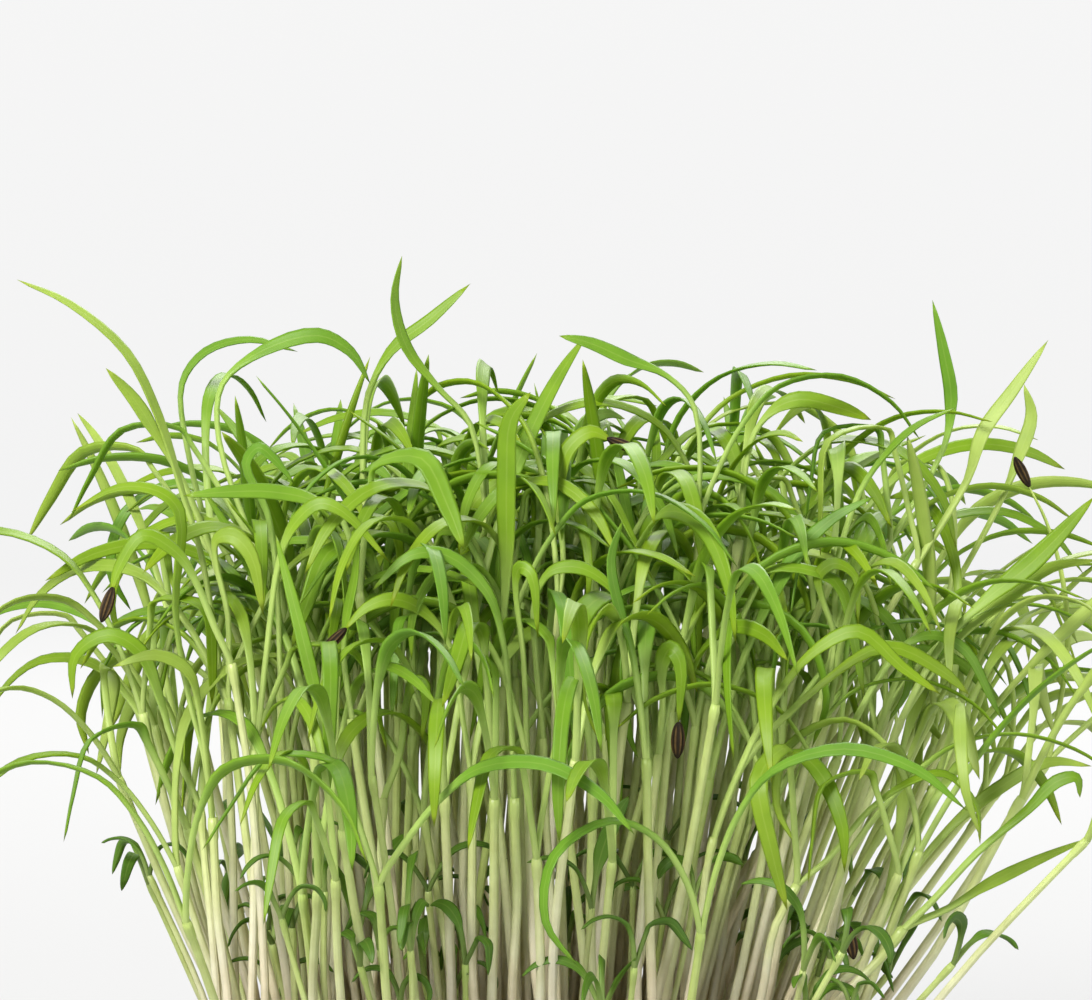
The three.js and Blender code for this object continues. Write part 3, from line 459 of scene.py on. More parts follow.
def leaf_route(start, azimuth, draw, lean, size, scattered):
    """A leaf's route by draws: it leaves the node at a steep angle and bends down as it goes."""
    kind = draw(0, 1)
    for bend in BENDS:
        above = SCATTERED_ERECT if scattered and bend is ERECT else bend[3]
        if kind > above:
            break
    share, least, most = bend[:3]
    whole = draw(least, most)
    length = draw(LEAF_SHORTEST, LEAF_LONGEST) * size
    sideways = draw(-LEAF_SWEEP, LEAF_SWEEP)
    elevation = draw(*LEAF_RISE)
    points = []
    point = start
    for i, part in enumerate(LEAF_PARTS):
        turned = math.radians(azimuth + sideways * (i / (len(LEAF_PARTS) - 1)))
        raised = math.radians(elevation)
        way = unit((
            math.cos(raised) * math.cos(turned) + lean[0] * LEAF_LEAN,
            math.cos(raised) * math.sin(turned) + lean[1] * LEAF_LEAN,
            math.sin(raised),
        ))
        short = FOLD_SHORTER if bend is FOLD and i == FOLD_PART else 1
        point = plus(point, way, part * length * short)
        points.append(point)
        elevation -= whole * share[i]
    return points


def drawn_leaf(node, azimuth, draw, lean, size, scattered=False):
    """One leaf by draws: its route, its way across, its width and how it turns."""
    route = leaf_route(node, azimuth, draw, lean, size, scattered)
    turned = math.radians(azimuth)
    reference = (-math.sin(turned), math.cos(turned), 0.0)
    first = draw(-LEAF_ROLL, LEAF_ROLL)
    last = first + draw(-LEAF_TWIST, LEAF_TWIST)
    width = draw(*LEAF_WIDTHS) * (STUNTED_NARROWER if size < 1 else 1)
    rolls = [mix(first, last, (i + 1) / len(route)) for i in range(len(route))]
    return {"route": route, "reference": reference, "width": width, "rolls": rolls}


def drawn_seedling(group, index, attempt, scattered=False):
    """One seedling by draws, at its place in a group, or scattered round the group's middle."""
    draw = draws(1 + group["number"] * 977 + index * 131 + attempt * 31337)
    angle = math.radians(index * 120 + group["number"] * 47 + draw(-25, 25))
    ring = BASE_RING + draw(-0.4, 0.5)
    if scattered:
        angle = math.radians(draw(0, 360))
        ring = SCATTER_RING * math.sqrt(draw(0, 1))
    foot = (group["x"] + ring * math.cos(angle), group["y"] + ring * math.sin(angle), SOIL_TOP)
    along_x = foot[0] / (COLUMNS * COLUMN_STEP / 2)
    along_y = foot[1] / (ROWS * ROW_STEP / 2)
    stunted = draw(0, 1) < (SCATTERED_STUNTED_SHARE if scattered else STUNTED_SHARE)
    sweep = (LEAN_RIGHT if along_x > 0 else LEAN_LEFT) * (SCATTERED_LEAN if scattered else 1)
    lean_x = sweep * sign(along_x) * abs(along_x) ** 1.4 + draw(-STEM_SCATTER, STEM_SCATTER)
    lean_y = LEAN_AWAY * along_y * abs(along_y) + draw(-STEM_SCATTER, STEM_SCATTER)
    lean = (lean_x, lean_y, 0.0)
    full = STEM_LENGTH - STEM_SHORTER_AT_ENDS * along_x * along_x + draw(-STEM_SPREAD, STEM_SPREAD)
    if scattered:
        full += SCATTERED_TALLER * max(along_y + 0.6, 0)
        full -= draw(0, SCATTERED_SHORTER) * draw(0, 1) * max(0.4 - along_y, 0)
    length = draw(STUNTED_SHORTEST, STUNTED_LONGEST) if stunted else full
    up = unit((lean[0], lean[1], 1.0))
    bow_x = draw(-STEM_BOW, STEM_BOW)
    bow_y = draw(-STEM_BOW, STEM_BOW)
    bow = plus((bow_x, bow_y, 0.0), lean, -STEM_BOWS_OUT)
    middle = plus(plus(foot, up, length * 0.5), bow, length / STEM_LENGTH)
    node = plus(foot, up, length)
    low = plus(foot, lean, 1.2)[:2] + (SOIL_TOP + 2.5,)
    root = foot[:2] + (SOIL_TOP - ROOT_DEPTH,)
    size = draw(*STUNTED_LEAF) if stunted else 1
    azimuth = draw(0, 360)
    leaves = [drawn_leaf(node, azimuth, draw, lean, size, scattered)]
    leaves.append(drawn_leaf(node, azimuth + 180 + draw(-32, 32), draw, lean, size, scattered))
    if scattered:
        for leaf in leaves:
            leaf["width"] *= SCATTERED_NARROWER
    return {"group": group, "stem": [root, low, middle, node], "leaves": leaves, "stunted": stunted}


def traced_seedling(traced, groups, shift):
    """A seedling drawn from life, set as deep as its row and shift say."""
    row, stem_route, leaf_routes = traced
    row_y = (row - (ROWS + 1) / 2) * ROW_STEP
    first = on_sightline(*stem_route[0], row_y)
    second = on_sightline(*stem_route[1], row_y + shift * LOW_SHIFT)
    slope = (second[0] - first[0]) / max(second[2] - first[2], LEAST_RISE)
    foot_x = first[0] - slope * (first[2] - SOIL_TOP) * FOOT_SLOPE
    near = [group for group in groups if group["row"] == row]
    group = min(near, key=lambda one: abs(one["x"] - foot_x))
    foot_x = min(max(foot_x, group["x"] - FOOT_REACH), group["x"] + FOOT_REACH)
    foot_y = row_y + min(max(shift * FOOT_SHIFT, -FOOT_DEPTH_REACH), FOOT_DEPTH_REACH)
    count = len(stem_route)
    stem = [(foot_x, foot_y, SOIL_TOP - ROOT_DEPTH), (foot_x, foot_y, SOIL_TOP + 1.5)]
    for i, (x, z) in enumerate(stem_route):
        stem.append(on_sightline(x, z, row_y + shift * ((i + 1) / count)))
    node = stem[-1]
    leaves = []
    for points, width, turn, away in leaf_routes:
        span = len(points)
        route = []
        for i, (x, z) in enumerate(points):
            route.append(on_sightline(x, z, row_y + shift + away * ((i + 1) / span)))
        sense = sign(route[-1][0] - node[0]) or 1
        rolls = [sense * turn * min(1, TURN_AT_STALK + (i + 1) / span) for i in range(span)]
        reference = (0.0, float(sense), 0.0)
        leaves.append({"route": route, "reference": reference, "width": width, "rolls": rolls})
    return {"group": group, "stem": stem, "leaves": leaves, "stunted": False}


def seedling_rings(seedling):
    """The coarse rings that the solids have, which the room between seedlings is measured on."""
    stem = seedling["stem"]
    node = stem[-1]
    below = between(node, stem[-2], LEAF_IN_NODE)
    sets = []
    for index, leaf in enumerate(seedling["leaves"]):
        widths, deeps = leaf_section(len(leaf["route"]), leaf["width"])
        started = stem if index == 0 else [below]
        thin = 1 if index == 0 else FURTHER_LEAF
        widths = [STEM_SIDE * thin] * len(started) + widths
        deeps = [STEM_DEEP * thin] * len(started) + deeps
        rolls = [leaf["rolls"][0]] * len(started) + leaf["rolls"]
        sets.append(rings_along(list(started) + leaf["route"], widths, deeps, leaf["reference"], rolls))
    return sets


def samples_of(ring_sets, stem_parts):
    """Points spread over a seedling: place, room and whether it is on the stem."""
    samples = []
    for index, rings in enumerate(ring_sets):
        for i in range(1 if index == 0 else 0, len(rings) - 1):
            start, end = rings[i], rings[i + 1]
            steps = math.ceil(math.dist(start[0], end[0]) / SAMPLE_STEP)
            is_stem = index == 0 and i < stem_parts
            for step in range(steps):
                along = (step + 0.5) / steps
                middle = between(start[0], end[0], along)
                if is_stem:
                    samples.append((middle, STEM_ROOM, True))
                    continue
                wide_start = tuple(c * start[3] for c in start[1])
                wide_end = tuple(c * end[3] for c in end[1])
                across = between(wide_start, wide_end, along)
                for side in (-BLADE_EDGE, 0, BLADE_EDGE):
                    samples.append((plus(middle, across, side), LEAF_ROOM, False))
    return samples


class Stand:
    """The whole stand of seedlings: its groups, the room that is taken and what must stay in sight."""

    def __init__(self):
        self.taken = {}
        self.kept = {}
        self.husks = []
        self.groups = []
        for row in range(1, ROWS + 1):
            for column in range(1, COLUMNS + 1):
                self.groups.append({
                    "row": row,
                    "column": column,
                    "number": len(self.groups),
                    "x": (column - (COLUMNS + 1) / 2) * COLUMN_STEP,
                    "y": (row - (ROWS + 1) / 2) * ROW_STEP,
                    "seedlings": [],
                })

    def is_free(self, samples, number, room_between=ROOM_BETWEEN):
        """Whether samples are clear of the tray, the soil and all that has its place already."""
        taken = self.taken
        edge_x = PUSH_X + inner_radius(SOIL_TOP) - ROOM_AT_WALL
        edge_y = PUSH_Y + inner_radius(SOIL_TOP) - ROOM_AT_WALL
        for (x, y, z), room, stem in samples:
            if (abs(x) > edge_x or abs(y) > edge_y) and z < TRAY_HEIGHT + ROOM_AT_WALL:
                return False
            if not stem and z < LEAVES_FROM:
                return False
            ci, cj, ck = math.floor(x / ROOM_CELL), math.floor(y / ROOM_CELL), math.floor(z / ROOM_CELL)
            low = z < FUSED_UP_TO
            for i in (ci - 1, ci, ci + 1):
                for j in (cj - 1, cj, cj + 1):
                    for k in (ck - 1, ck, ck + 1):
                        for ox, oy, oz, other_room, owner in taken.get((i, j, k), ()):
                            if low and owner == number:
                                continue
                            need = max(room + other_room + room_between, 0)
                            if (ox - x) ** 2 + (oy - y) ** 2 + (oz - z) ** 2 < need * need:
                                return False
        return True

    def hides_traced(self, samples):
        """Whether too many of the samples would stand before the traced leaves."""
        hiding = 0
        for place, _, _ in samples:
            x, z = shown_at(place)
            depth = self.kept.get((math.floor(x), math.floor(z)))
            if depth is not None and depth > place[1]:
                hiding += 1
        return hiding > len(samples) * HIDING_SHARE

    def take(self, samples, number):
        """Takes the room that samples stand in for the group of this number."""
        for (x, y, z), room, _ in samples:
            key = (math.floor(x / ROOM_CELL), math.floor(y / ROOM_CELL), math.floor(z / ROOM_CELL))
            self.taken.setdefault(key, []).append((x, y, z, room, number))

    def keep_in_sight(self, samples):
        """Notes where the leaves among the samples show and how deep they are."""
        for place, _, stem in samples:
            if not stem:
                x, z = shown_at(place)
                key = (math.floor(x), math.floor(z))
                self.kept[key] = min(place[1], self.kept.get(key, math.inf))

    def try_seedling(self, seedling, traced, scattered=False):
        """Adds a seedling to its group if there is room for it, and says whether it did."""
        number = seedling["group"]["number"]
        samples = samples_of(seedling_rings(seedling), len(seedling["stem"]) - 1)
        room_between = ROOM_BETWEEN
        if scattered:
            rooms = (SCATTERED_LEAF_ROOM, SCATTERED_STEM_ROOM)
            samples = [(place, rooms[stem], stem) for place, _, stem in samples]
            room_between = 0
        if not traced and self.hides_traced(samples):
            return False
        if not self.is_free(samples, number, room_between):
            return False
        seedling["group"]["seedlings"].append(seedling)
        self.take(samples, number)
        if traced:
            self.keep_in_sight(samples)
        return True

    def grow_traced(self):
        """The seedlings drawn from life, each at the first depth that is free."""
        for traced in TRACED:
            for shift in DEPTH_SHIFTS:
                if self.try_seedling(traced_seedling(traced, self.groups, shift), True):
                    break

    def grow_drawn(self):
        """The repeats by draws that fill each group of the solids, fewer of them inside."""
        for index in range(SEEDLINGS_PER_GROUP):
            for group in self.groups:
                inner = 1 < group["row"] < ROWS and (group["row"] + group["column"]) % 3 != 0
                thinned = inner and index == SEEDLINGS_PER_GROUP - 1
                if thinned or len(group["seedlings"]) >= SEEDLINGS_PER_GROUP:
                    continue
                for attempt in range(ATTEMPTS):
                    if self.try_seedling(drawn_seedling(group, index, attempt), False):
                        break

    def add_second_leaves(self):
        """The other leaf of each seedling that was drawn from life with one."""
        for group in self.groups:
            for number, seedling in enumerate(group["seedlings"]):
                if len(seedling["leaves"]) > 1:
                    continue
                draw = draws(9000 + group["number"] * 31 + number)
                node = seedling["stem"][-1]
                first = minus(seedling["leaves"][0]["route"][-1], node)
                opposite = math.degrees(math.atan2(-first[1] + SECOND_LEAF_PULL, -first[0]))
                lean = unit(minus(node, seedling["stem"][-2]))[:2] + (0.0,)
                for _ in range(SECOND_LEAF_ATTEMPTS):
                    azimuth = opposite + draw(-SECOND_LEAF_TURN, SECOND_LEAF_TURN)
                    leaf = drawn_leaf(node, azimuth, draw, lean, 1, True)
                    both = {"stem": seedling["stem"], "leaves": [seedling["leaves"][0], leaf]}
                    rings = seedling_rings(both)[1]
                    samples = samples_of([[], rings], 0)
                    samples = [one for one in samples if math.dist(one[0], node) > NODE_ROOM]
                    if self.hides_traced(samples) or not self.is_in_outline([leaf]):
                        continue
                    if self.is_free(samples, group["number"], SECOND_LEAF_ROOM):
                        seedling["leaves"].append(leaf)
                        self.take(samples, group["number"])
                        break

    def is_in_outline(self, leaves):
        """Whether leaves show no higher than the stand's rounded top and reach no wider than the solids."""
        for leaf in leaves:
            for point in leaf["route"]:
                x, z = shown_at(point)
                if z > CANOPY_TOP - CANOPY_FALL * (x / CANOPY_HALF) ** 2:
                    return False
                for axis in (0, 1):
                    least, most = CAD_BOX[0][axis] / MM, CAD_BOX[1][axis] / MM
                    if not least - OVER_SOLIDS < point[axis] < most + OVER_SOLIDS:
                        return False
        return True

    def grow_scattered(self, more):
        """The rest of the stand, which the solids leave out, in the room that is left."""
        for index in range(SEEDLINGS_PER_GROUP, SEEDLINGS_PER_GROUP + more):
            for group in self.groups:
                at_end = group["column"] in (1, COLUMNS)
                if at_end and len(group["seedlings"]) >= MOST_AT_ENDS:
                    continue
                for attempt in range(SCATTERED_ATTEMPTS):
                    seedling = drawn_seedling(group, index, attempt, scattered=True)
                    if not self.is_in_outline(seedling["leaves"]):
                        continue
                    if self.try_seedling(seedling, False, scattered=True):
                        break

    def leaf_tips(self):
        tips = []
        for group in self.groups:
            for seedling in group["seedlings"]:
                for leaf in seedling["leaves"]:
                    end = leaf["route"][-1]
                    way = unit(minus(end, leaf["route"][-2]))
                    tips.append({"end": end, "way": way, "used": False})
        return tips

    def place_husks(self):
        """Each husk stands off the leaf tip that shows nearest to its place."""
        tips = self.leaf_tips()
        spots = []
        for place in HUSK_PLACES:
            near = [tip for tip in tips if not tip["used"] and tip["end"][1] < HUSKS_BEFORE]
            near.sort(key=lambda tip: math.dist(shown_at(tip["end"]), place))
            for tip in near:
                middle = plus(tip["end"], tip["way"], HUSK_GAP + HUSK_LENGTH / 2)
                room = HUSK_WIDTH / 2 - ROOM_BETWEEN
                spine = [plus(middle, tip["way"], share * HUSK_LENGTH) for share in (-0.3, 0, 0.3)]
                samples = [(place, room, False) for place in spine]
                if self.is_free(samples, None):
                    tip["used"] = True
                    self.take(samples, None)
                    spots.append((middle, tip["way"]))
                    break
        return spots


# Settings that a user would change

class SeedlingSettings(bpy.types.PropertyGroup):
    """Sizes and colours of the seedlings."""
    stem_diameter: FloatProperty(
        name="Stem diameter", description="Thickness of a stem below its node",
        default=0.00120, min=0.0005, unit="LENGTH")
    blade_thickness: FloatProperty(
        name="Blade thickness", description="Thickness of a leaf blade at its middle",
        default=0.00045, min=0.0002, unit="LENGTH")
    more_per_group: IntProperty(
        name="More seedlings", description="Seedlings tried in each group beyond those of the frame",
        default=11, min=0, max=16)
    stem_colour: FloatVectorProperty(
        name="Stem colour", description="Colour of a stem near the soil",
        default=(0.84, 0.80, 0.64), subtype="COLOR", min=0, max=1)
    leaf_colour: FloatVectorProperty(
        name="Leaf colour", description="Colour of a yellow-green blade",
        default=(0.265, 0.42, 0.010), subtype="COLOR", min=0, max=1)
    cool_leaf_colour: FloatVectorProperty(
        name="Cool leaf colour", description="Colour of a blue-green blade",
        default=(0.18, 0.37, 0.022), subtype="COLOR", min=0, max=1)


class TraySettings(bpy.types.PropertyGroup):
    """Colour and finish of the tray."""
    colour: FloatVectorProperty(
        name="Tray colour", description="Colour of the moulded tray",
        default=(0.030, 0.032, 0.031), subtype="COLOR", min=0, max=1)
    roughness: FloatProperty(
        name="Tray roughness", description="Roughness of the moulded tray",
        default=0.42, min=0, max=1, subtype="FACTOR")


class SoilSettings(bpy.types.PropertyGroup):
    """Colour and texture of the soil."""
    colour: FloatVectorProperty(
        name="Soil colour", description="Colour of the damp soil",
        default=(0.040, 0.024, 0.014), subtype="COLOR", min=0, max=1)
    crumbs: IntProperty(
        name="Crumbs", description="Loose crumbs that lie on the soil",
        default=420, min=0, max=2000)


class HuskSettings(bpy.types.PropertyGroup):
    """Colour of the seed husks."""
    colour: FloatVectorProperty(
        name="Husk colour", description="Colour between the ribs of a husk",
        default=(0.0150, 0.0090, 0.0036), subtype="COLOR", min=0, max=1)


class StageSettings(bpy.types.PropertyGroup):
    """Light and backdrop."""
    backdrop: FloatVectorProperty(
        name="Backdrop colour", description="Colour of the floor and the backdrop",
        default=(0.913, 0.913, 0.913), subtype="COLOR", min=0, max=1)
    key_power: FloatProperty(
        name="Key light", description="Power of the large light above the front",
        default=10.5, min=0, unit="POWER")


# Materials

def new_material(name):
    material = bpy.data.materials.new(name)
    material.use_nodes = True
    tree = material.node_tree
    shader = tree.nodes["Principled BSDF"]
    return material, tree, shader


def add_node(tree, kind, **inputs):
    """A node with its unlinked inputs set by name, with underscores for spaces."""
    node = tree.nodes.new(kind)
    for name, value in inputs.items():
        node.inputs[name.replace("_", " ")].default_value = value
    return node


def maths(tree, operation, first, second=None):
    node = tree.nodes.new("ShaderNodeMath")
    node.operation = operation
    for socket, value in zip(node.inputs, (first, second)):
        if value is None:
            continue
        if isinstance(value, (int, float)):
            socket.default_value = value
        else:
            tree.links.new(value, socket)
    return node.outputs[0]


def ramp(tree, factor, stops):
    node = tree.nodes.new("ShaderNodeValToRGB")
    elements = node.color_ramp.elements
    while len(elements) < len(stops):
        elements.new(0.5)
    for element, (position, colour) in zip(elements, stops):
        element.position = position
        element.color = (*colour, 1.0)
    tree.links.new(factor, node.inputs["Fac"])
    return node.outputs["Color"]


def blend_colours(tree, factor, first, second, kind="MIX"):
    node = tree.nodes.new("ShaderNodeMix")
    node.data_type = "RGBA"
    node.blend_type = kind
    node.clamp_factor = True
    # a Mix node has sockets of these names for each kind of value; these are the colours'
    sockets = (node.inputs[0], node.inputs[6], node.inputs[7])
    for socket, value in zip(sockets, (factor, first, second)):
        if isinstance(value, (int, float)):
            socket.default_value = value
        elif isinstance(value, tuple):
            socket.default_value = (*value, 1.0)
        else:
            tree.links.new(value, socket)
    return node.outputs[2]


def noise(tree, vector, scale, detail=3.0, roughness=0.55):
    node = add_node(tree, "ShaderNodeTexNoise", Scale=scale, Detail=detail, Roughness=roughness)
    tree.links.new(vector, node.inputs["Vector"])
    return node.outputs["Fac"]


def bump(tree, shader, height, distance, strength=1.0):
    node = add_node(tree, "ShaderNodeBump", Strength=strength, Distance=distance)
    tree.links.new(height, node.inputs["Height"])
    tree.links.new(node.outputs["Normal"], shader.inputs["Normal"])


def object_place(tree):
    return tree.nodes.new("ShaderNodeTexCoord").outputs["Object"]


def along_and_around(tree):
    """The piece's own map: how far round the section and how far along the part."""
    place = tree.nodes.new("ShaderNodeUVMap")
    place.uv_map = "UVMap"
    parts = tree.nodes.new("ShaderNodeSeparateXYZ")
    tree.links.new(place.outputs["UV"], parts.inputs["Vector"])
    return parts.outputs["X"], parts.outputs["Y"]


def attribute(tree, name):
    node = tree.nodes.new("ShaderNodeAttribute")
    node.attribute_name = name
    return node.outputs["Fac"]


def let_light_through(tree, shader, colour, filter_colour, share):
    """Mixes in light that comes through from behind, in the colour times the filter's."""
    through = tree.nodes.new("ShaderNodeBsdfTranslucent")
    tree.links.new(blend_colours(tree, 1.0, colour, filter_colour, "MULTIPLY"), through.inputs["Color"])
    both = tree.nodes.new("ShaderNodeMixShader")
    both.inputs["Fac"].default_value = share
    tree.links.new(shader.outputs["BSDF"], both.inputs[1])
    tree.links.new(through.outputs["BSDF"], both.inputs[2])
    tree.links.new(both.outputs["Shader"], tree.nodes["Material Output"].inputs["Surface"])


def mottled(tree, colour, spots, dark_stop, light_stop):
    """The colour made darker in spots, between a dark stop and a light one."""
    return blend_colours(tree, 1.0, colour, ramp(tree, spots, (dark_stop, light_stop)), "MULTIPLY")


def tint(colour, red, green, blue):
    return (min(colour[0] * red, 1), min(colour[1] * green, 1), min(colour[2] * blue, 1))


WHITE = (1.0, 1.0, 1.0)

# The dark green of stunted leaves, mixed in as their tone goes past one, and the pale green of
# leaves at the two ends of the stand, mixed in as it goes below nought
DARK_LEAF = (0.06, 0.135, 0.014)
STUNTED_DARKER = 0.8
PALE_LEAF = (0.50, 0.62, 0.16)


def leaf_material(settings):
    material, tree, shader = new_material("Seed leaf")
    around, along = along_and_around(tree)
    tone = attribute(tree, "tone")
    warm = tuple(settings.leaf_colour)
    cool = tuple(settings.cool_leaf_colour)
    pale = (0.62, 0.73, 0.26)
    warm_run = ramp(tree, along, (
        (0.0, pale), (0.38, tint(pale, 0.84, 0.92, 0.7)), (0.56, tint(warm, 1.05, 1.03, 1.6)),
        (0.68, tint(warm, 0.9, 0.94, 1)),
        (0.93, tint(warm, 1.0, 0.98, 1.0)), (1.0, tint(warm, 1.35, 1.05, 1.0))))
    cool_run = ramp(tree, along, (
        (0.0, pale), (0.34, tint(pale, 0.78, 0.9, 0.64)), (0.52, tint(cool, 1.15, 1.1, 1.4)),
        (0.65, tint(cool, 0.88, 0.92, 1)),
        (0.94, tint(cool, 0.92, 0.94, 0.95)), (1.0, tint(cool, 1.2, 1.0, 0.8))))
    colour = blend_colours(tree, tone, warm_run, cool_run)
    dark = maths(tree, "MULTIPLY", maths(tree, "SUBTRACT", tone, 1.0), STUNTED_DARKER)
    colour = blend_colours(tree, dark, colour, DARK_LEAF)
    colour = blend_colours(tree, maths(tree, "MULTIPLY", tone, -1.0), colour, PALE_LEAF)
    place = object_place(tree)
    colour = mottled(tree, colour, noise(tree, place, 210.0, 2.0), (0.3, (0.80, 0.84, 0.78)), (0.7, WHITE))
    turn = maths(tree, "MULTIPLY", around, math.tau)
    across = maths(tree, "COSINE", turn)
    middle = maths(tree, "SUBTRACT", 1.0, maths(tree, "MULTIPLY", maths(tree, "ABSOLUTE", across), 7.0))
    middle = maths(tree, "MAXIMUM", middle, 0.0)
    veins = maths(tree, "SINE", maths(tree, "MULTIPLY", across, 11.0))
    rib = maths(tree, "MULTIPLY", middle, 0.5)
    relief = maths(tree, "SUBTRACT", maths(tree, "MULTIPLY", veins, 0.12), rib)
    relief = maths(tree, "ADD", relief, noise(tree, place, 1500.0, 2.0))
    colour = blend_colours(tree, maths(tree, "MULTIPLY", middle, 0.16), colour, (0.52, 0.64, 0.16))
    tree.links.new(colour, shader.inputs["Base Color"])
    bump(tree, shader, relief, 0.00004, 0.45)
    shader.inputs["Roughness"].default_value = 0.46
    shader.inputs["Specular IOR Level"].default_value = 0.36
    let_light_through(tree, shader, colour, (1.0, 1.0, 0.45), 0.30)
    return material


def stem_material(settings):
    material, tree, shader = new_material("Stem")
    around, along = along_and_around(tree)
    tone = attribute(tree, "tone")
    white = tuple(settings.stem_colour)
    green = (0.60, 0.71, 0.25)
    # painted shade: the foot and the lower part of each stem are made darker and browner, standing in for
    # the shade that falls low among the stems near the soil
    foot = tint(white, 0.55, 0.48, 0.36)
    pale_run = ramp(tree, along, (
        (0.0, foot), (0.28, tint(white, 0.72, 0.68, 0.54)), (0.4, tint(white, 0.98, 0.94, 0.88)),
        (0.5, white), (0.64, tint(white, 0.92, 0.99, 0.72)), (0.8, tint(white, 0.78, 0.92, 0.46)),
        (1.0, green)))
    green_run = ramp(tree, along, (
        (0.0, foot), (0.28, tint(white, 0.68, 0.63, 0.5)), (0.4, tint(white, 0.95, 0.9, 0.8)),
        (0.5, tint(white, 0.84, 0.92, 0.6)), (0.64, tint(green, 0.98, 1.0, 0.9)),
        (1.0, tint(green, 0.76, 0.86, 0.6))))
    colour = blend_colours(tree, tone, pale_run, green_run)
    place = object_place(tree)
    colour = mottled(tree, colour, noise(tree, place, 260.0, 3.0), (0.3, (0.86, 0.84, 0.78)), (0.65, WHITE))
    tree.links.new(colour, shader.inputs["Base Color"])
    ridges = maths(tree, "SINE", maths(tree, "MULTIPLY", around, math.tau * 9))
    relief = maths(tree, "ADD", maths(tree, "MULTIPLY", ridges, 0.35), noise(tree, place, 900.0, 2.0))
    bump(tree, shader, relief, 0.00006, 0.6)
    shader.inputs["Roughness"].default_value = 0.36
    shader.inputs["Specular IOR Level"].default_value = 0.5
    let_light_through(tree, shader, colour, (1.0, 0.98, 0.75), 0.20)
    return material


def husk_material(settings):
    material, tree, shader = new_material("Seed husk")
    base = tuple(settings.colour)
    colour = ramp(tree, attribute(tree, "ridge"), (
        (0.0, base), (0.7, tint(base, 1.5, 1.5, 1.4)), (1.0, tint(base, 8.0, 8.4, 7.2))))
    place = object_place(tree)
    spots = noise(tree, place, 1400.0, 4.0)
    colour = mottled(tree, colour, spots, (0.3, (0.55, 0.5, 0.45)), (0.7, (1.15, 1.1, 1.0)))
    tree.links.new(colour, shader.inputs["Base Color"])
    bump(tree, shader, noise(tree, place, 3000.0, 3.0), 0.00008, 0.7)
    shader.inputs["Roughness"].default_value = 0.7
    shader.inputs["Specular IOR Level"].default_value = 0.2
    return material


def soil_material(settings):
    material, tree, shader = new_material("Soil")
    base = tuple(settings.colour)
    place = object_place(tree)
    colour = ramp(tree, noise(tree, place, 330.0, 6.0, 0.65), (
        (0.25, tint(base, 0.35, 0.35, 0.35)), (0.5, base), (0.72, tint(base, 2.6, 2.5, 2.2)),
        (0.8, tint(base, 5.0, 4.6, 4.0))))
    tree.links.new(colour, shader.inputs["Base Color"])
    bump(tree, shader, noise(tree, place, 1300.0, 6.0, 0.7), 0.0004, 0.9)
    shader.inputs["Roughness"].default_value = 0.93
    shader.inputs["Specular IOR Level"].default_value = 0.25
    return material


def tray_material(settings):
    material, tree, shader = new_material("Moulded tray")
    base = tuple(settings.colour)
    place = object_place(tree)
    wear = ramp(tree, noise(tree, place, 45.0, 5.0, 0.6), ((0.35, base), (0.75, tint(base, 1.5, 1.5, 1.5))))
    tree.links.new(wear, shader.inputs["Base Color"])
    uneven = maths(tree, "MULTIPLY", noise(tree, place, 120.0, 3.0), 0.16)
    gloss = maths(tree, "ADD", uneven, settings.roughness - 0.08)
    tree.links.new(gloss, shader.inputs["Roughness"])
    bump(tree, shader, noise(tree, place, 2600.0, 2.0), 0.00003, 0.5)
    return material


def backdrop_material(settings):
    material, tree, shader = new_material("Backdrop")
    colour = tuple(settings.backdrop)
    place = object_place(tree)
    darker = tint(colour, 0.995, 0.995, 0.995)
    shade = ramp(tree, noise(tree, place, 3.0, 2.0), ((0.0, darker), (1.0, colour)))
    paper = blend_colours(tree, 1.0, shade, (0.14, 0.14, 0.14), "MULTIPLY")
    tree.links.new(paper, shader.inputs["Base Color"])
    # it glows a little less close to the tray, where the lamps reach it
    away = tree.nodes.new("ShaderNodeVectorMath")
    away.operation = "LENGTH"
    tree.links.new(place, away.inputs[0])
    glow = ramp(tree, maths(tree, "MULTIPLY", away.outputs["Value"], 0.5), (
        (0.0, (0.70,) * 3), (0.12, (0.735,) * 3), (0.35, (0.86,) * 3), (1.0, (0.916,) * 3)))
    tree.links.new(blend_colours(tree, 1.0, shade, glow, "MULTIPLY"), shader.inputs["Emission Color"])
    shader.inputs["Emission Strength"].default_value = 1.0
    shader.inputs["Roughness"].default_value = 0.9
    shader.inputs["Specular IOR Level"].default_value = 0.0
    return material


# Meshes

def object_from(name, mesh, materials):
    piece = bpy.data.objects.new(name, mesh)
    bpy.context.scene.collection.objects.link(piece)
    for material in materials:
        mesh.materials.append(material)
    mesh.polygons.foreach_set("use_smooth", [True] * len(mesh.polygons))
    return piece


# The straight tubes made so far, which every stem and leaf is a copy of
BLANKS = {}


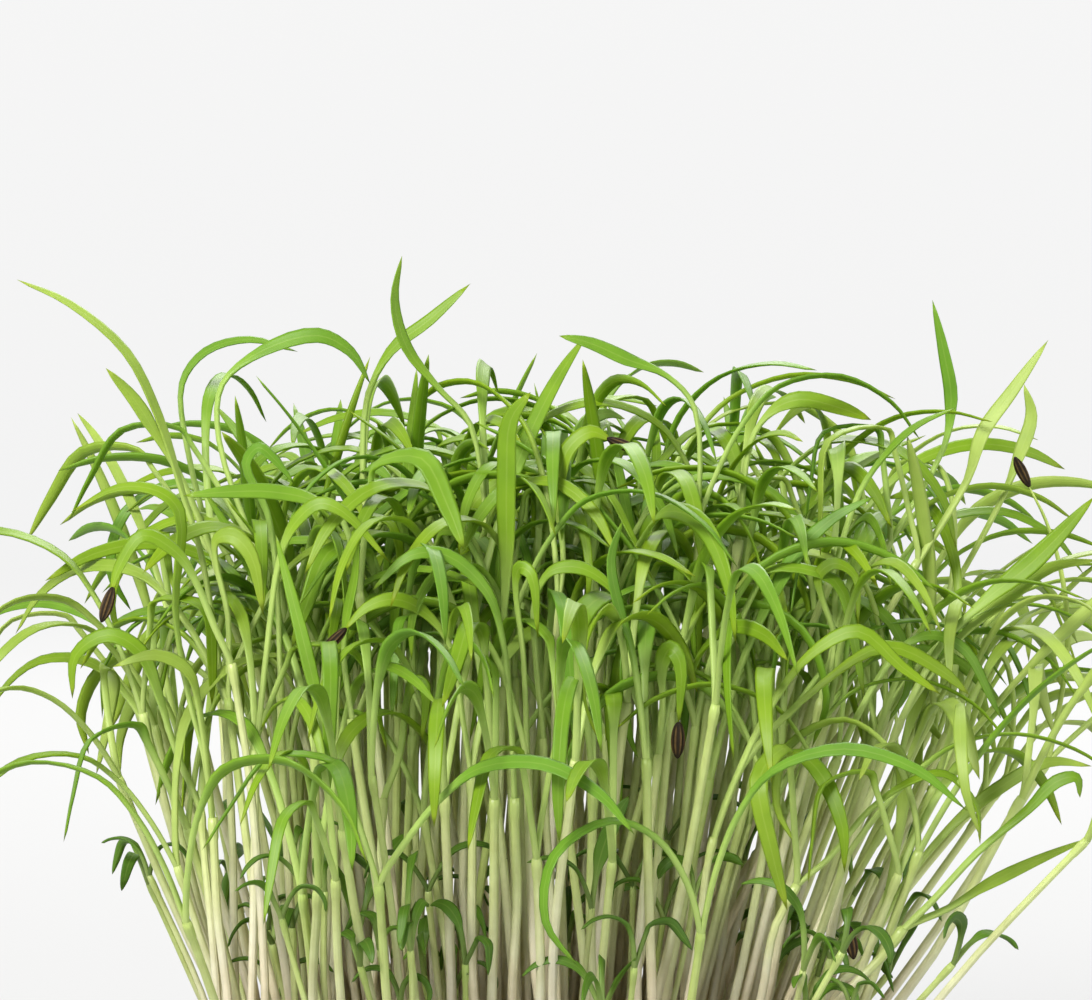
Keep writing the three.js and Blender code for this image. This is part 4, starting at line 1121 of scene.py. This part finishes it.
def blank_tube(sides, rings, slot, pointed):
    """A straight tube of unit radius, one unit long for each ring, closed at its foot and its end."""
    key = (sides, rings, slot, pointed)
    if key in BLANKS:
        return BLANKS[key]
    bm = bmesh.new()
    bmesh.ops.create_circle(bm, cap_ends=True, segments=sides, radius=1.0)
    edges = list(bm.edges)
    for _ in range(rings - 1):
        made = bmesh.ops.extrude_edge_only(bm, edges=edges)["geom"]
        edges = [part for part in made if isinstance(part, bmesh.types.BMEdge)]
        edges = [edge for edge in edges if len(edge.link_faces) == 1]
        verts = [part for part in made if isinstance(part, bmesh.types.BMVert)]
        bmesh.ops.translate(bm, verts=verts, vec=(0, 0, 1))
    if pointed:
        bmesh.ops.pointmerge(bm, verts=verts, merge_co=(0, 0, rings - 1))
    else:
        bmesh.ops.edgeloop_fill(bm, edges=edges)
    bmesh.ops.recalc_face_normals(bm, faces=bm.faces)
    uv = bm.loops.layers.uv.new("UVMap")
    for face in bm.faces:
        face.material_index = slot
        face.smooth = True
        centre = face.calc_center_median()
        middle = (math.atan2(centre.y, centre.x) / math.tau) % 1
        for loop in face.loops:
            place = loop.vert.co
            around = (math.atan2(place.y, place.x) / math.tau) % 1
            if math.hypot(place.x, place.y) < 0.5:
                around = middle
            elif middle > 0.5 and around < 0.25:
                around += 1
            loop[uv].uv = (around, place.z / (rings - 1))
    mesh = bpy.data.meshes.new("blank")
    bm.to_mesh(mesh)
    bm.free()
    places = np.array([tuple(vert.co) for vert in mesh.vertices])
    ring = np.rint(places[:, 2]).astype(int)
    radius = np.maximum(np.hypot(places[:, 0], places[:, 1]), 0.5)
    BLANKS[key] = (mesh, ring, places[:, 0] / radius, places[:, 1] / radius)
    return BLANKS[key]


def smooth_route(points, before, parts):
    """A centripetal curve through the points, with so many parts between two of them."""
    start = plus(points[0], minus(points[0], points[1])) if before is None else before
    end = plus(points[-1], minus(points[-1], points[-2]))
    all_points = [start, *points, end]
    route = []
    for i in range(1, len(all_points) - 2):
        p0, p1, p2, p3 = all_points[i - 1:i + 3]
        t1 = math.sqrt(math.dist(p0, p1)) + 1e-6
        t2 = t1 + math.sqrt(math.dist(p1, p2)) + 1e-6
        t3 = t2 + math.sqrt(math.dist(p2, p3)) + 1e-6
        for step in range(parts):
            t = mix(t1, t2, step / parts)
            a1 = between(p0, p1, t / t1)
            a2 = between(p1, p2, (t - t1) / (t2 - t1))
            a3 = between(p2, p3, (t - t2) / (t3 - t2))
            b1 = between(a1, a2, t / t2)
            b2 = between(a2, a3, (t - t1) / (t3 - t1))
            route.append(between(b1, b2, (t - t1) / (t2 - t1)))
    route.append(points[-1])
    return route


def smoothed(value):
    value = min(max(value, 0.0), 1.0)
    return value * value * (3 - 2 * value)


def place_blank(blank, rings, profile):
    """The vertices of a blank tube set round the rings. profile turns each one's place on the
    circle into a share of the ring's width and depth."""
    _, ring, across, up = blank
    middle = np.array([r[0] for r in rings])[ring]
    side = np.array([r[1] for r in rings])[ring]
    top = np.array([r[2] for r in rings])[ring]
    wide = np.array([r[3] for r in rings])[ring]
    deep = np.array([r[4] for r in rings])[ring]
    out, lift = profile(across, up, wide, deep, ring / max(ring.max(), 1))
    return (middle + side * out[:, None] + top * lift[:, None]) * MM


def round_section(across, up, wide, deep, along):
    return across * wide / 2, up * deep / 2


def blade_section(across, up, wide, deep, along):
    """A shallow channel on top and a rounded keel below."""
    opened = np.clip((along - 0.2) / 0.3, 0, 1)
    body = np.where(up > 0, 0.34, 0.66) * up * deep
    channel = wide * across ** 2 * (0.05 + 0.06 * opened)
    return across * wide / 2, body + channel - wide * 0.03


def leaf_parts(leaf, node, below, settings, stunted, draw):
    """The fine rings of one leaf, from inside the node to its pointed tip."""
    controls = [between(node, below, 0.6), node] + leaf["route"]
    route = smooth_route(controls, below, CURVE_PARTS)
    rolls = [leaf["rolls"][0], leaf["rolls"][0]] + leaf["rolls"]
    count = len(route)
    widths = []
    deeps = []
    fine_rolls = []
    thick = settings.blade_thickness / MM
    opens_from = draw(*OPENS_FROM)
    bluntness = draw(*BLUNTNESS)
    broadest = leaf["width"] * draw(*FINE_NARROWER)
    stalk = PETIOLE_WIDTH * (STUNTED_STALK if stunted else draw(*FINE_STALK))
    for i in range(count):
        along = i / (count - 1)
        share = i / CURVE_PARTS
        low = min(int(share), len(rolls) - 2)
        fine_rolls.append(mix(rolls[low], rolls[low + 1], share - low))
        opening = smoothed((along - opens_from) / OPENS_OVER)
        nearing = max((along - 0.6) / 0.4, 0)
        closing = max(1 - nearing ** bluntness, 0.001) ** 0.75
        widths.append(mix(stalk, broadest, opening) * closing)
        thinning = mix(1, 0.7, smoothed((along - 0.7) / 0.3))
        deeps.append(mix(stalk * 0.8, thick, opening) * thinning)
    rings = rings_along(route, widths, deeps, leaf["reference"], fine_rolls)
    blank = blank_tube(TUBE_SIDES, count, 1, True)
    return blank, place_blank(blank, rings, blade_section)


def stem_parts(seedling, settings, draw):
    """The fine rings of a stem, thickened to a sheath under its node."""
    stem = seedling["stem"]
    route = smooth_route(stem, None, CURVE_PARTS if len(stem) < 5 else CURVE_PARTS - 1)
    total = math.dist(stem[0], stem[-1])
    swing = (draw(-STEM_WAVE, STEM_WAVE), draw(-STEM_WAVE, STEM_WAVE), 0.0)
    turns = draw(0.8, 1.7) * math.tau
    last = len(route) - 1
    for i in range(1, last):
        along = i / last
        route[i] = plus(route[i], swing, math.sin(along * math.pi) * math.sin(along * turns))
    # two close rings make the sheath's clear lower edge
    node = route[-1]
    back = unit(minus(route[-2], node))
    bare = [point for point in route[:-1] if math.dist(point, node) > SHEATH_CLEAR]
    route = bare + [plus(node, back, down) for down in SHEATH_RINGS] + [node]
    thick = settings.stem_diameter / MM * draw(0.88, 1.12) * (0.75 if seedling["stunted"] else 1)
    widths = [thick * mix(1.06, 0.86, math.dist(stem[0], point) / total) for point in route[:-3]]
    widths += [thick * swell for swell in SHEATH_SWELLS]
    reference = seedling["leaves"][0]["reference"]
    rings = rings_along(route, widths, widths, reference, [0.0] * len(route))
    blank = blank_tube(TUBE_SIDES, len(route), 0, False)
    return blank, place_blank(blank, rings, round_section)


def piece_from_parts(name, parts, materials):
    """One mesh from copies of blanks, each with its own vertices and its own tone."""
    bm = bmesh.new()
    for blank, _, _ in parts:
        bm.from_mesh(blank[0])
    mesh = bpy.data.meshes.new(name)
    bm.to_mesh(mesh)
    bm.free()
    mesh.vertices.foreach_set("co", np.concatenate([places for _, places, _ in parts]).ravel())
    tone = mesh.attributes.new("tone", "FLOAT", "POINT")
    tones = np.concatenate([np.full(len(places), value) for _, places, value in parts])
    tone.data.foreach_set("value", tones)
    mesh.update()
    return object_from(name, mesh, materials)


def rounded_push(bm, push_x, push_y):
    """Pushes the four quarters of a turned form apart into a rounded rectangle."""
    for vert in bm.verts:
        if math.hypot(vert.co.x, vert.co.y) > 1e-7:
            vert.co.x += math.copysign(push_x, vert.co.x)
            vert.co.y += math.copysign(push_y, vert.co.y)


def turned(bm, profile, steps):
    """A closed form turned from a profile of radius and height in millimetres."""
    half = math.pi / steps
    verts = []
    for radius, height in profile:
        place = (radius * MM * math.cos(half), radius * MM * math.sin(half), height * MM)
        verts.append(bm.verts.new(place))
    edges = [bm.edges.new(pair) for pair in zip(verts, verts[1:])]
    bmesh.ops.spin(bm, geom=verts + edges, cent=(0, 0, 0), axis=(0, 0, 1), angle=math.tau,
                   steps=steps, use_merge=True, use_duplicate=False)
    bmesh.ops.remove_doubles(bm, verts=bm.verts, dist=1e-6)


def finish_mesh(bm, name):
    bmesh.ops.recalc_face_normals(bm, faces=bm.faces)
    mesh = bpy.data.meshes.new(name)
    bm.to_mesh(mesh)
    bm.free()
    return mesh


# Operators

class GREENS_OT_stage(bpy.types.Operator):
    """Set the floor, the backdrop, the lights and the camera"""
    bl_idname = "greens.stage"
    bl_label = "Stage"

    def execute(self, context):
        settings = context.scene.greens_stage
        self.make_backdrop(context, settings)
        self.make_lights(context, settings)
        self.make_camera(context)
        view = context.scene.view_settings
        view.view_transform = "Standard"
        view.look = "None"
        view.exposure = 0.0
        view.gamma = 1.0
        return {"FINISHED"}

    def make_backdrop(self, context, settings):
        """A floor that sweeps up behind into a wall."""
        bm = bmesh.new()
        profile = [(-FLOOR_REACH, 0.0), (FLOOR_BEHIND, 0.0)]
        for step in range(1, SWEEP_STEPS + 1):
            turn = math.radians(90 * step / SWEEP_STEPS)
            rise = SWEEP_RADIUS * (1 - math.cos(turn))
            profile.append((FLOOR_BEHIND + SWEEP_RADIUS * math.sin(turn), rise))
        profile.append((FLOOR_BEHIND + SWEEP_RADIUS, BACKDROP_TOP))
        verts = [bm.verts.new((-FLOOR_REACH, y, z)) for y, z in profile]
        edges = [bm.edges.new(pair) for pair in zip(verts, verts[1:])]
        made = bmesh.ops.extrude_edge_only(bm, edges=edges)["geom"]
        moved = [part for part in made if isinstance(part, bmesh.types.BMVert)]
        bmesh.ops.translate(bm, verts=moved, vec=(2 * FLOOR_REACH, 0, 0))
        for face in bm.faces:
            if face.normal.z < 0:
                face.normal_flip()
        mesh = bpy.data.meshes.new("backdrop")
        bm.to_mesh(mesh)
        bm.free()
        backdrop = object_from("backdrop", mesh, [backdrop_material(settings)])

    def make_lights(self, context, settings):
        world = bpy.data.worlds.new("Studio")
        context.scene.world = world
        world.use_nodes = True
        background = world.node_tree.nodes["Background"]
        background.inputs["Color"].default_value = (1.0, 1.0, 0.98, 1.0)
        background.inputs["Strength"].default_value = 0.42
        lamps = (
            ("key", (-0.35, -0.55, 0.62), 0.34, settings.key_power, (1.0, 0.985, 0.95)),
            ("fill", (0.75, -0.45, 0.30), 0.6, settings.key_power * 0.25, (0.95, 0.98, 1.0)),
            ("back", (0.10, 0.55, 0.60), 0.5, settings.key_power * 0.5, (1.0, 1.0, 0.97)),
        )
        for name, place, size, power, colour in lamps:
            data = bpy.data.lights.new(name, "AREA")
            data.shape = "DISK"
            data.size = size
            data.energy = power
            data.color = colour
            lamp = bpy.data.objects.new(name, data)
            context.scene.collection.objects.link(lamp)
            lamp.location = place
            aim_at(lamp, (0.0, 0.0, 0.08))

    def make_camera(self, context):
        data = bpy.data.cameras.new("camera")
        data.lens = LENS
        data.sensor_width = 36.0
        data.clip_start = 0.01
        data.clip_end = 20.0
        camera = bpy.data.objects.new("camera", data)
        context.scene.collection.objects.link(camera)
        camera.location = tuple(c * MM for c in VIEWER)
        aim_at(camera, tuple(c * MM for c in AIM))
        context.scene.camera = camera


def aim_at(thing, target):
    way = Vector(target) - thing.location
    thing.rotation_euler = way.to_track_quat("-Z", "Y").to_euler()


class GREENS_OT_tray(bpy.types.Operator):
    """Mould the tray with its rim, rounded foot and drain slots"""
    bl_idname = "greens.tray"
    bl_label = "Tray"

    def execute(self, context):
        settings = context.scene.greens_tray
        bm = bmesh.new()
        lip_inner = RIM_RADIUS - LIP_THICKNESS
        inner_top = inner_radius(TRAY_HEIGHT)
        inner_foot = inner_radius(WALL)
        turned(bm, (
            (0, 0), (WALL_FOOT - 1.2, 0), (WALL_FOOT - 0.5, 0.12), (WALL_FOOT - 0.1, 0.5), (WALL_FOOT, 1.0),
            (WALL_TOP - 0.05, TRAY_HEIGHT - WALL - 1.0), (WALL_TOP + 0.25, TRAY_HEIGHT - WALL - 0.25),
            (WALL_TOP + 0.9, TRAY_HEIGHT - WALL), (lip_inner - 0.6, TRAY_HEIGHT - WALL),
            (lip_inner - 0.1, TRAY_HEIGHT - WALL - 0.4), (lip_inner, TRAY_HEIGHT - LIP_DROP + 0.15),
            (lip_inner + 0.15, TRAY_HEIGHT - LIP_DROP), (RIM_RADIUS - 0.15, TRAY_HEIGHT - LIP_DROP),
            (RIM_RADIUS, TRAY_HEIGHT - LIP_DROP + 0.15), (RIM_RADIUS, TRAY_HEIGHT - 0.8),
            (RIM_RADIUS - 0.2, TRAY_HEIGHT - 0.25), (RIM_RADIUS - 0.75, TRAY_HEIGHT),
            (inner_top + 0.75, TRAY_HEIGHT), (inner_top + 0.2, TRAY_HEIGHT - 0.2),
            (inner_top, TRAY_HEIGHT - 0.7), (inner_foot + 0.03, WALL + 0.9),
            (inner_foot - 0.2, WALL + 0.25), (inner_foot - 0.9, WALL), (0, WALL),
        ), 64)
        rounded_push(bm, PUSH_X * MM, PUSH_Y * MM)
        mesh = finish_mesh(bm, "tray")
        piece = object_from("growing_tray", mesh, [tray_material(settings)])
        self.cut_slots(context, piece)
        piece.data.polygons.foreach_set("use_smooth", [True] * len(piece.data.polygons))
        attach(piece, BODY)
        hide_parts("tray")
        return {"FINISHED"}

    def cut_slots(self, context, piece):
        """Four slots with round ends through the floor of the tray."""
        bm = bmesh.new()
        for side_x in (-1, 1):
            for side_y in (-1, 1):
                radius = SLOT_WIDTH / 2 * MM
                made = bmesh.ops.create_circle(bm, cap_ends=True, segments=24, radius=radius)["verts"]
                for vert in made:
                    vert.co.x += math.copysign((SLOT_LENGTH - SLOT_WIDTH) / 2 * MM, vert.co.x + 1e-9)
                place = (side_x * SLOT_SPREAD[0] * MM, side_y * SLOT_SPREAD[1] * MM, -WALL * MM)
                bmesh.ops.translate(bm, verts=made, vec=place)
        made = bmesh.ops.extrude_face_region(bm, geom=list(bm.faces))["geom"]
        up = [part for part in made if isinstance(part, bmesh.types.BMVert)]
        bmesh.ops.translate(bm, verts=up, vec=(0, 0, 3 * WALL * MM))
        cutter = object_from("slots", finish_mesh(bm, "slots"), [])
        cut = piece.modifiers.new("slots", "BOOLEAN")
        cut.operation = "DIFFERENCE"
        cut.solver = "EXACT"
        cut.object = cutter
        context.view_layer.update()
        shown = piece.evaluated_get(context.evaluated_depsgraph_get())
        cut_mesh = bpy.data.meshes.new_from_object(shown)
        piece.modifiers.remove(cut)
        piece.data = cut_mesh
        bpy.data.objects.remove(cutter)


class GREENS_OT_soil(bpy.types.Operator):
    """Fill the tray with crumbly soil"""
    bl_idname = "greens.soil"
    bl_label = "Soil"

    def execute(self, context):
        settings = context.scene.greens_soil
        material = soil_material(settings)
        bed = self.make_bed(material)
        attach(bed, BODY)
        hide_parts("soil")
        crumbs = self.make_crumbs(settings, material)
        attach(crumbs, BODY)
        return {"FINISHED"}

    def make_bed(self, material):
        """The block of soil, uneven on top and lower along the wall."""
        bm = bmesh.new()
        half_x = PUSH_X + inner_radius(SOIL_TOP) - FIT_GAP
        half_y = PUSH_Y + inner_radius(SOIL_TOP) - FIT_GAP
        corner = inner_radius(SOIL_TOP) - FIT_GAP
        made = bmesh.ops.create_grid(bm, x_segments=110, y_segments=80, size=1.0)["verts"]
        for vert in made:
            x = vert.co.x * half_x
            y = vert.co.y * half_y
            over_x = max(abs(x) - (half_x - corner), 0.0)
            over_y = max(abs(y) - (half_y - corner), 0.0)
            reach = math.hypot(over_x, over_y)
            square = max(over_x, over_y)
            if reach > 1e-9:
                x = math.copysign(min(abs(x), half_x - corner) + over_x * square / reach, x)
                y = math.copysign(min(abs(y), half_y - corner) + over_y * square / reach, y)
            edge = min(corner - square, SOIL_EDGE) / SOIL_EDGE if reach > 0 else 1.0
            lump = field.fractal(Vector((x, y, 3.0)) * 0.35, 0.7, 2.1, 5)
            grit = field.noise(Vector((x, y, 9.0)) * 1.3)
            height = SOIL_TOP + lump * SOIL_LUMPS + grit * SOIL_GRIT - (1 - edge) * SOIL_EDGE_DROP
            vert.co = (x * MM, y * MM, min(height, SOIL_HIGHEST) * MM)
        down = bmesh.ops.extrude_face_region(bm, geom=list(bm.faces))["geom"]
        for part in down:
            if isinstance(part, bmesh.types.BMVert):
                part.co.x *= (PUSH_X + inner_radius(WALL) - FIT_GAP) / half_x
                part.co.y *= (PUSH_Y + inner_radius(WALL) - FIT_GAP) / half_y
                part.co.z = (WALL + FIT_GAP) * MM
        return object_from("soil_bed", finish_mesh(bm, "soil_bed"), [material])

    def make_crumbs(self, settings, material):
        """Loose crumbs, half sunk into the top of the soil."""
        draw = draws(71)
        bm = bmesh.new()
        for _ in range(settings.crumbs):
            x = draw(-1, 1) * (PUSH_X + CRUMB_REACH)
            y = draw(-1, 1) * (PUSH_Y + CRUMB_REACH)
            size = draw(*CRUMB_SIZE) * draw(0.6, 1.0)
            made = bmesh.ops.create_icosphere(bm, subdivisions=1, radius=size * MM)["verts"]
            for vert in made:
                vert.co *= draw(0.7, 1.25)
                vert.co.z *= 0.8
            bmesh.ops.translate(bm, verts=made, vec=(x * MM, y * MM, (SOIL_TOP + size * 0.3) * MM))
        crumbs = object_from("soil_crumbs", finish_mesh(bm, "soil_crumbs"), [material])
        crumbs.data.polygons.foreach_set("use_smooth", [False] * len(crumbs.data.polygons))
        return crumbs


class GREENS_OT_seedlings(bpy.types.Operator):
    """Grow the stand of seedlings, group by group"""
    bl_idname = "greens.seedlings"
    bl_label = "Seedlings"

    def execute(self, context):
        settings = context.scene.greens_seedlings
        STAND.grow_traced()
        STAND.grow_drawn()
        STAND.husks = STAND.place_husks()
        STAND.add_second_leaves()
        STAND.grow_scattered(settings.more_per_group)
        materials = [stem_material(settings), leaf_material(settings)]
        for group in STAND.groups:
            self.make_group(group, settings, materials)
        return {"FINISHED"}

    def make_group(self, group, settings, materials):
        """The stems and leaves of one group, with a tone of their own for each seedling."""
        draw = draws(5000 + group["number"])
        parts = []
        for seedling in group["seedlings"]:
            tone = draw(0, 1)
            node = seedling["stem"][-1]
            stem_end = seedling["stem"][-2]
            below = between(node, stem_end, min(2.5 / math.dist(node, stem_end), 1))
            parts.append((*stem_parts(seedling, settings, draw), tone))
            for leaf in seedling["leaves"]:
                leaf_tone = min(max(tone + draw(-TONE_SPREAD, TONE_SPREAD), 0), 1)
                outer = min(max((abs(node[0]) - PALE_FROM) / PALE_OVER, 0), 1)
                if outer > draw(0, 1):
                    leaf_tone = -outer * draw(*PALE_TONE)
                if seedling["stunted"]:
                    leaf_tone = 1 + draw(*STUNTED_TONE)
                blade = leaf_parts(leaf, node, below, settings, seedling["stunted"], draw)
                parts.append((*blade, leaf_tone))
        name = f"seedlings_{group['row']}_{group['column']}"
        piece = piece_from_parts(name, parts, materials)
        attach(piece, BODY)
        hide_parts(f"sprouts_{group['row']}_{group['column']}")


class GREENS_OT_husks(bpy.types.Operator):
    """Set the ribbed husks on the leaf tips that still carry them"""
    bl_idname = "greens.husks"
    bl_label = "Seed husks"

    def execute(self, context):
        if not STAND.husks:
            raise RuntimeError("the seedlings have to be grown before their husks are set")
        settings = context.scene.greens_husks
        material = husk_material(settings)
        for number, (middle, way) in enumerate(STAND.husks, 1):
            piece = self.make_husk(number, middle, way, material)
            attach(piece, BODY)
            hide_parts(f"seed_husk_{number}")
        return {"FINISHED"}

    def make_husk(self, number, middle, way, material):
        """A ribbed husk in line with its leaf, which reaches a little way over the leaf's tip."""
        bm = bmesh.new()
        ridge = bm.verts.layers.float.new("ridge")
        bmesh.ops.create_uvsphere(bm, u_segments=42, v_segments=18, radius=1.0)
        turn = Vector(way).to_track_quat("Z", "Y").to_matrix()
        for vert in bm.verts:
            angle = math.atan2(vert.co.y, vert.co.x)
            crest = abs(math.cos(angle * HUSK_RIBS / 2))
            vert[ridge] = crest * (1 - abs(vert.co.z) ** 6)
            rib = HUSK_BETWEEN_RIBS + HUSK_RIB_RISE * crest ** 3
            beak = 1 - HUSK_BEAK * max(vert.co.z, 0) ** 2
            end = HUSK_NECK if vert.co.z < 0 else 1.0
            place = Vector((
                vert.co.x * HUSK_WIDTH / 2 * rib * beak * HUSK_ROUND,
                vert.co.y * HUSK_WIDTH / 2 * rib * beak * HUSK_FLAT,
                vert.co.z * HUSK_LENGTH / 2 * end - HUSK_OVER_TIP,
            ))
            vert.co = (turn @ place + Vector(middle)) * MM
        return object_from(f"husk_{number}", finish_mesh(bm, f"husk_{number}"), [material])


class GREENS_PT_panel(bpy.types.Panel):
    """The steps that build the tray of seedlings"""
    bl_idname = "GREENS_PT_panel"
    bl_label = "Microgreens tray"
    bl_space_type = "VIEW_3D"
    bl_region_type = "UI"
    bl_category = "Microgreens"

    def draw(self, context):
        for operator, settings in STEPS:
            box = self.layout.box()
            group = getattr(context.scene, settings)
            for name in group.__annotations__:
                box.prop(group, name)
            box.operator(operator.bl_idname)


STEPS = (
    (GREENS_OT_stage, "greens_stage"),
    (GREENS_OT_tray, "greens_tray"),
    (GREENS_OT_soil, "greens_soil"),
    (GREENS_OT_seedlings, "greens_seedlings"),
    (GREENS_OT_husks, "greens_husks"),
)
SETTINGS = {
    "greens_stage": StageSettings,
    "greens_tray": TraySettings,
    "greens_soil": SoilSettings,
    "greens_seedlings": SeedlingSettings,
    "greens_husks": HuskSettings,
}
STAND = Stand()


def register():
    for name, settings in SETTINGS.items():
        bpy.utils.register_class(settings)
        setattr(bpy.types.Scene, name, PointerProperty(type=settings))
    for operator, _ in STEPS:
        bpy.utils.register_class(operator)
    bpy.utils.register_class(GREENS_PT_panel)


def unregister():
    bpy.utils.unregister_class(GREENS_PT_panel)
    for operator, _ in reversed(STEPS):
        bpy.utils.unregister_class(operator)
    for name, settings in SETTINGS.items():
        delattr(bpy.types.Scene, name)
        bpy.utils.unregister_class(settings)


def main():
    register()
    for operator, _ in STEPS:
        section, step = operator.bl_idname.split(".")
        getattr(getattr(bpy.ops, section), step)()


if __name__ == "__main__":
    main()
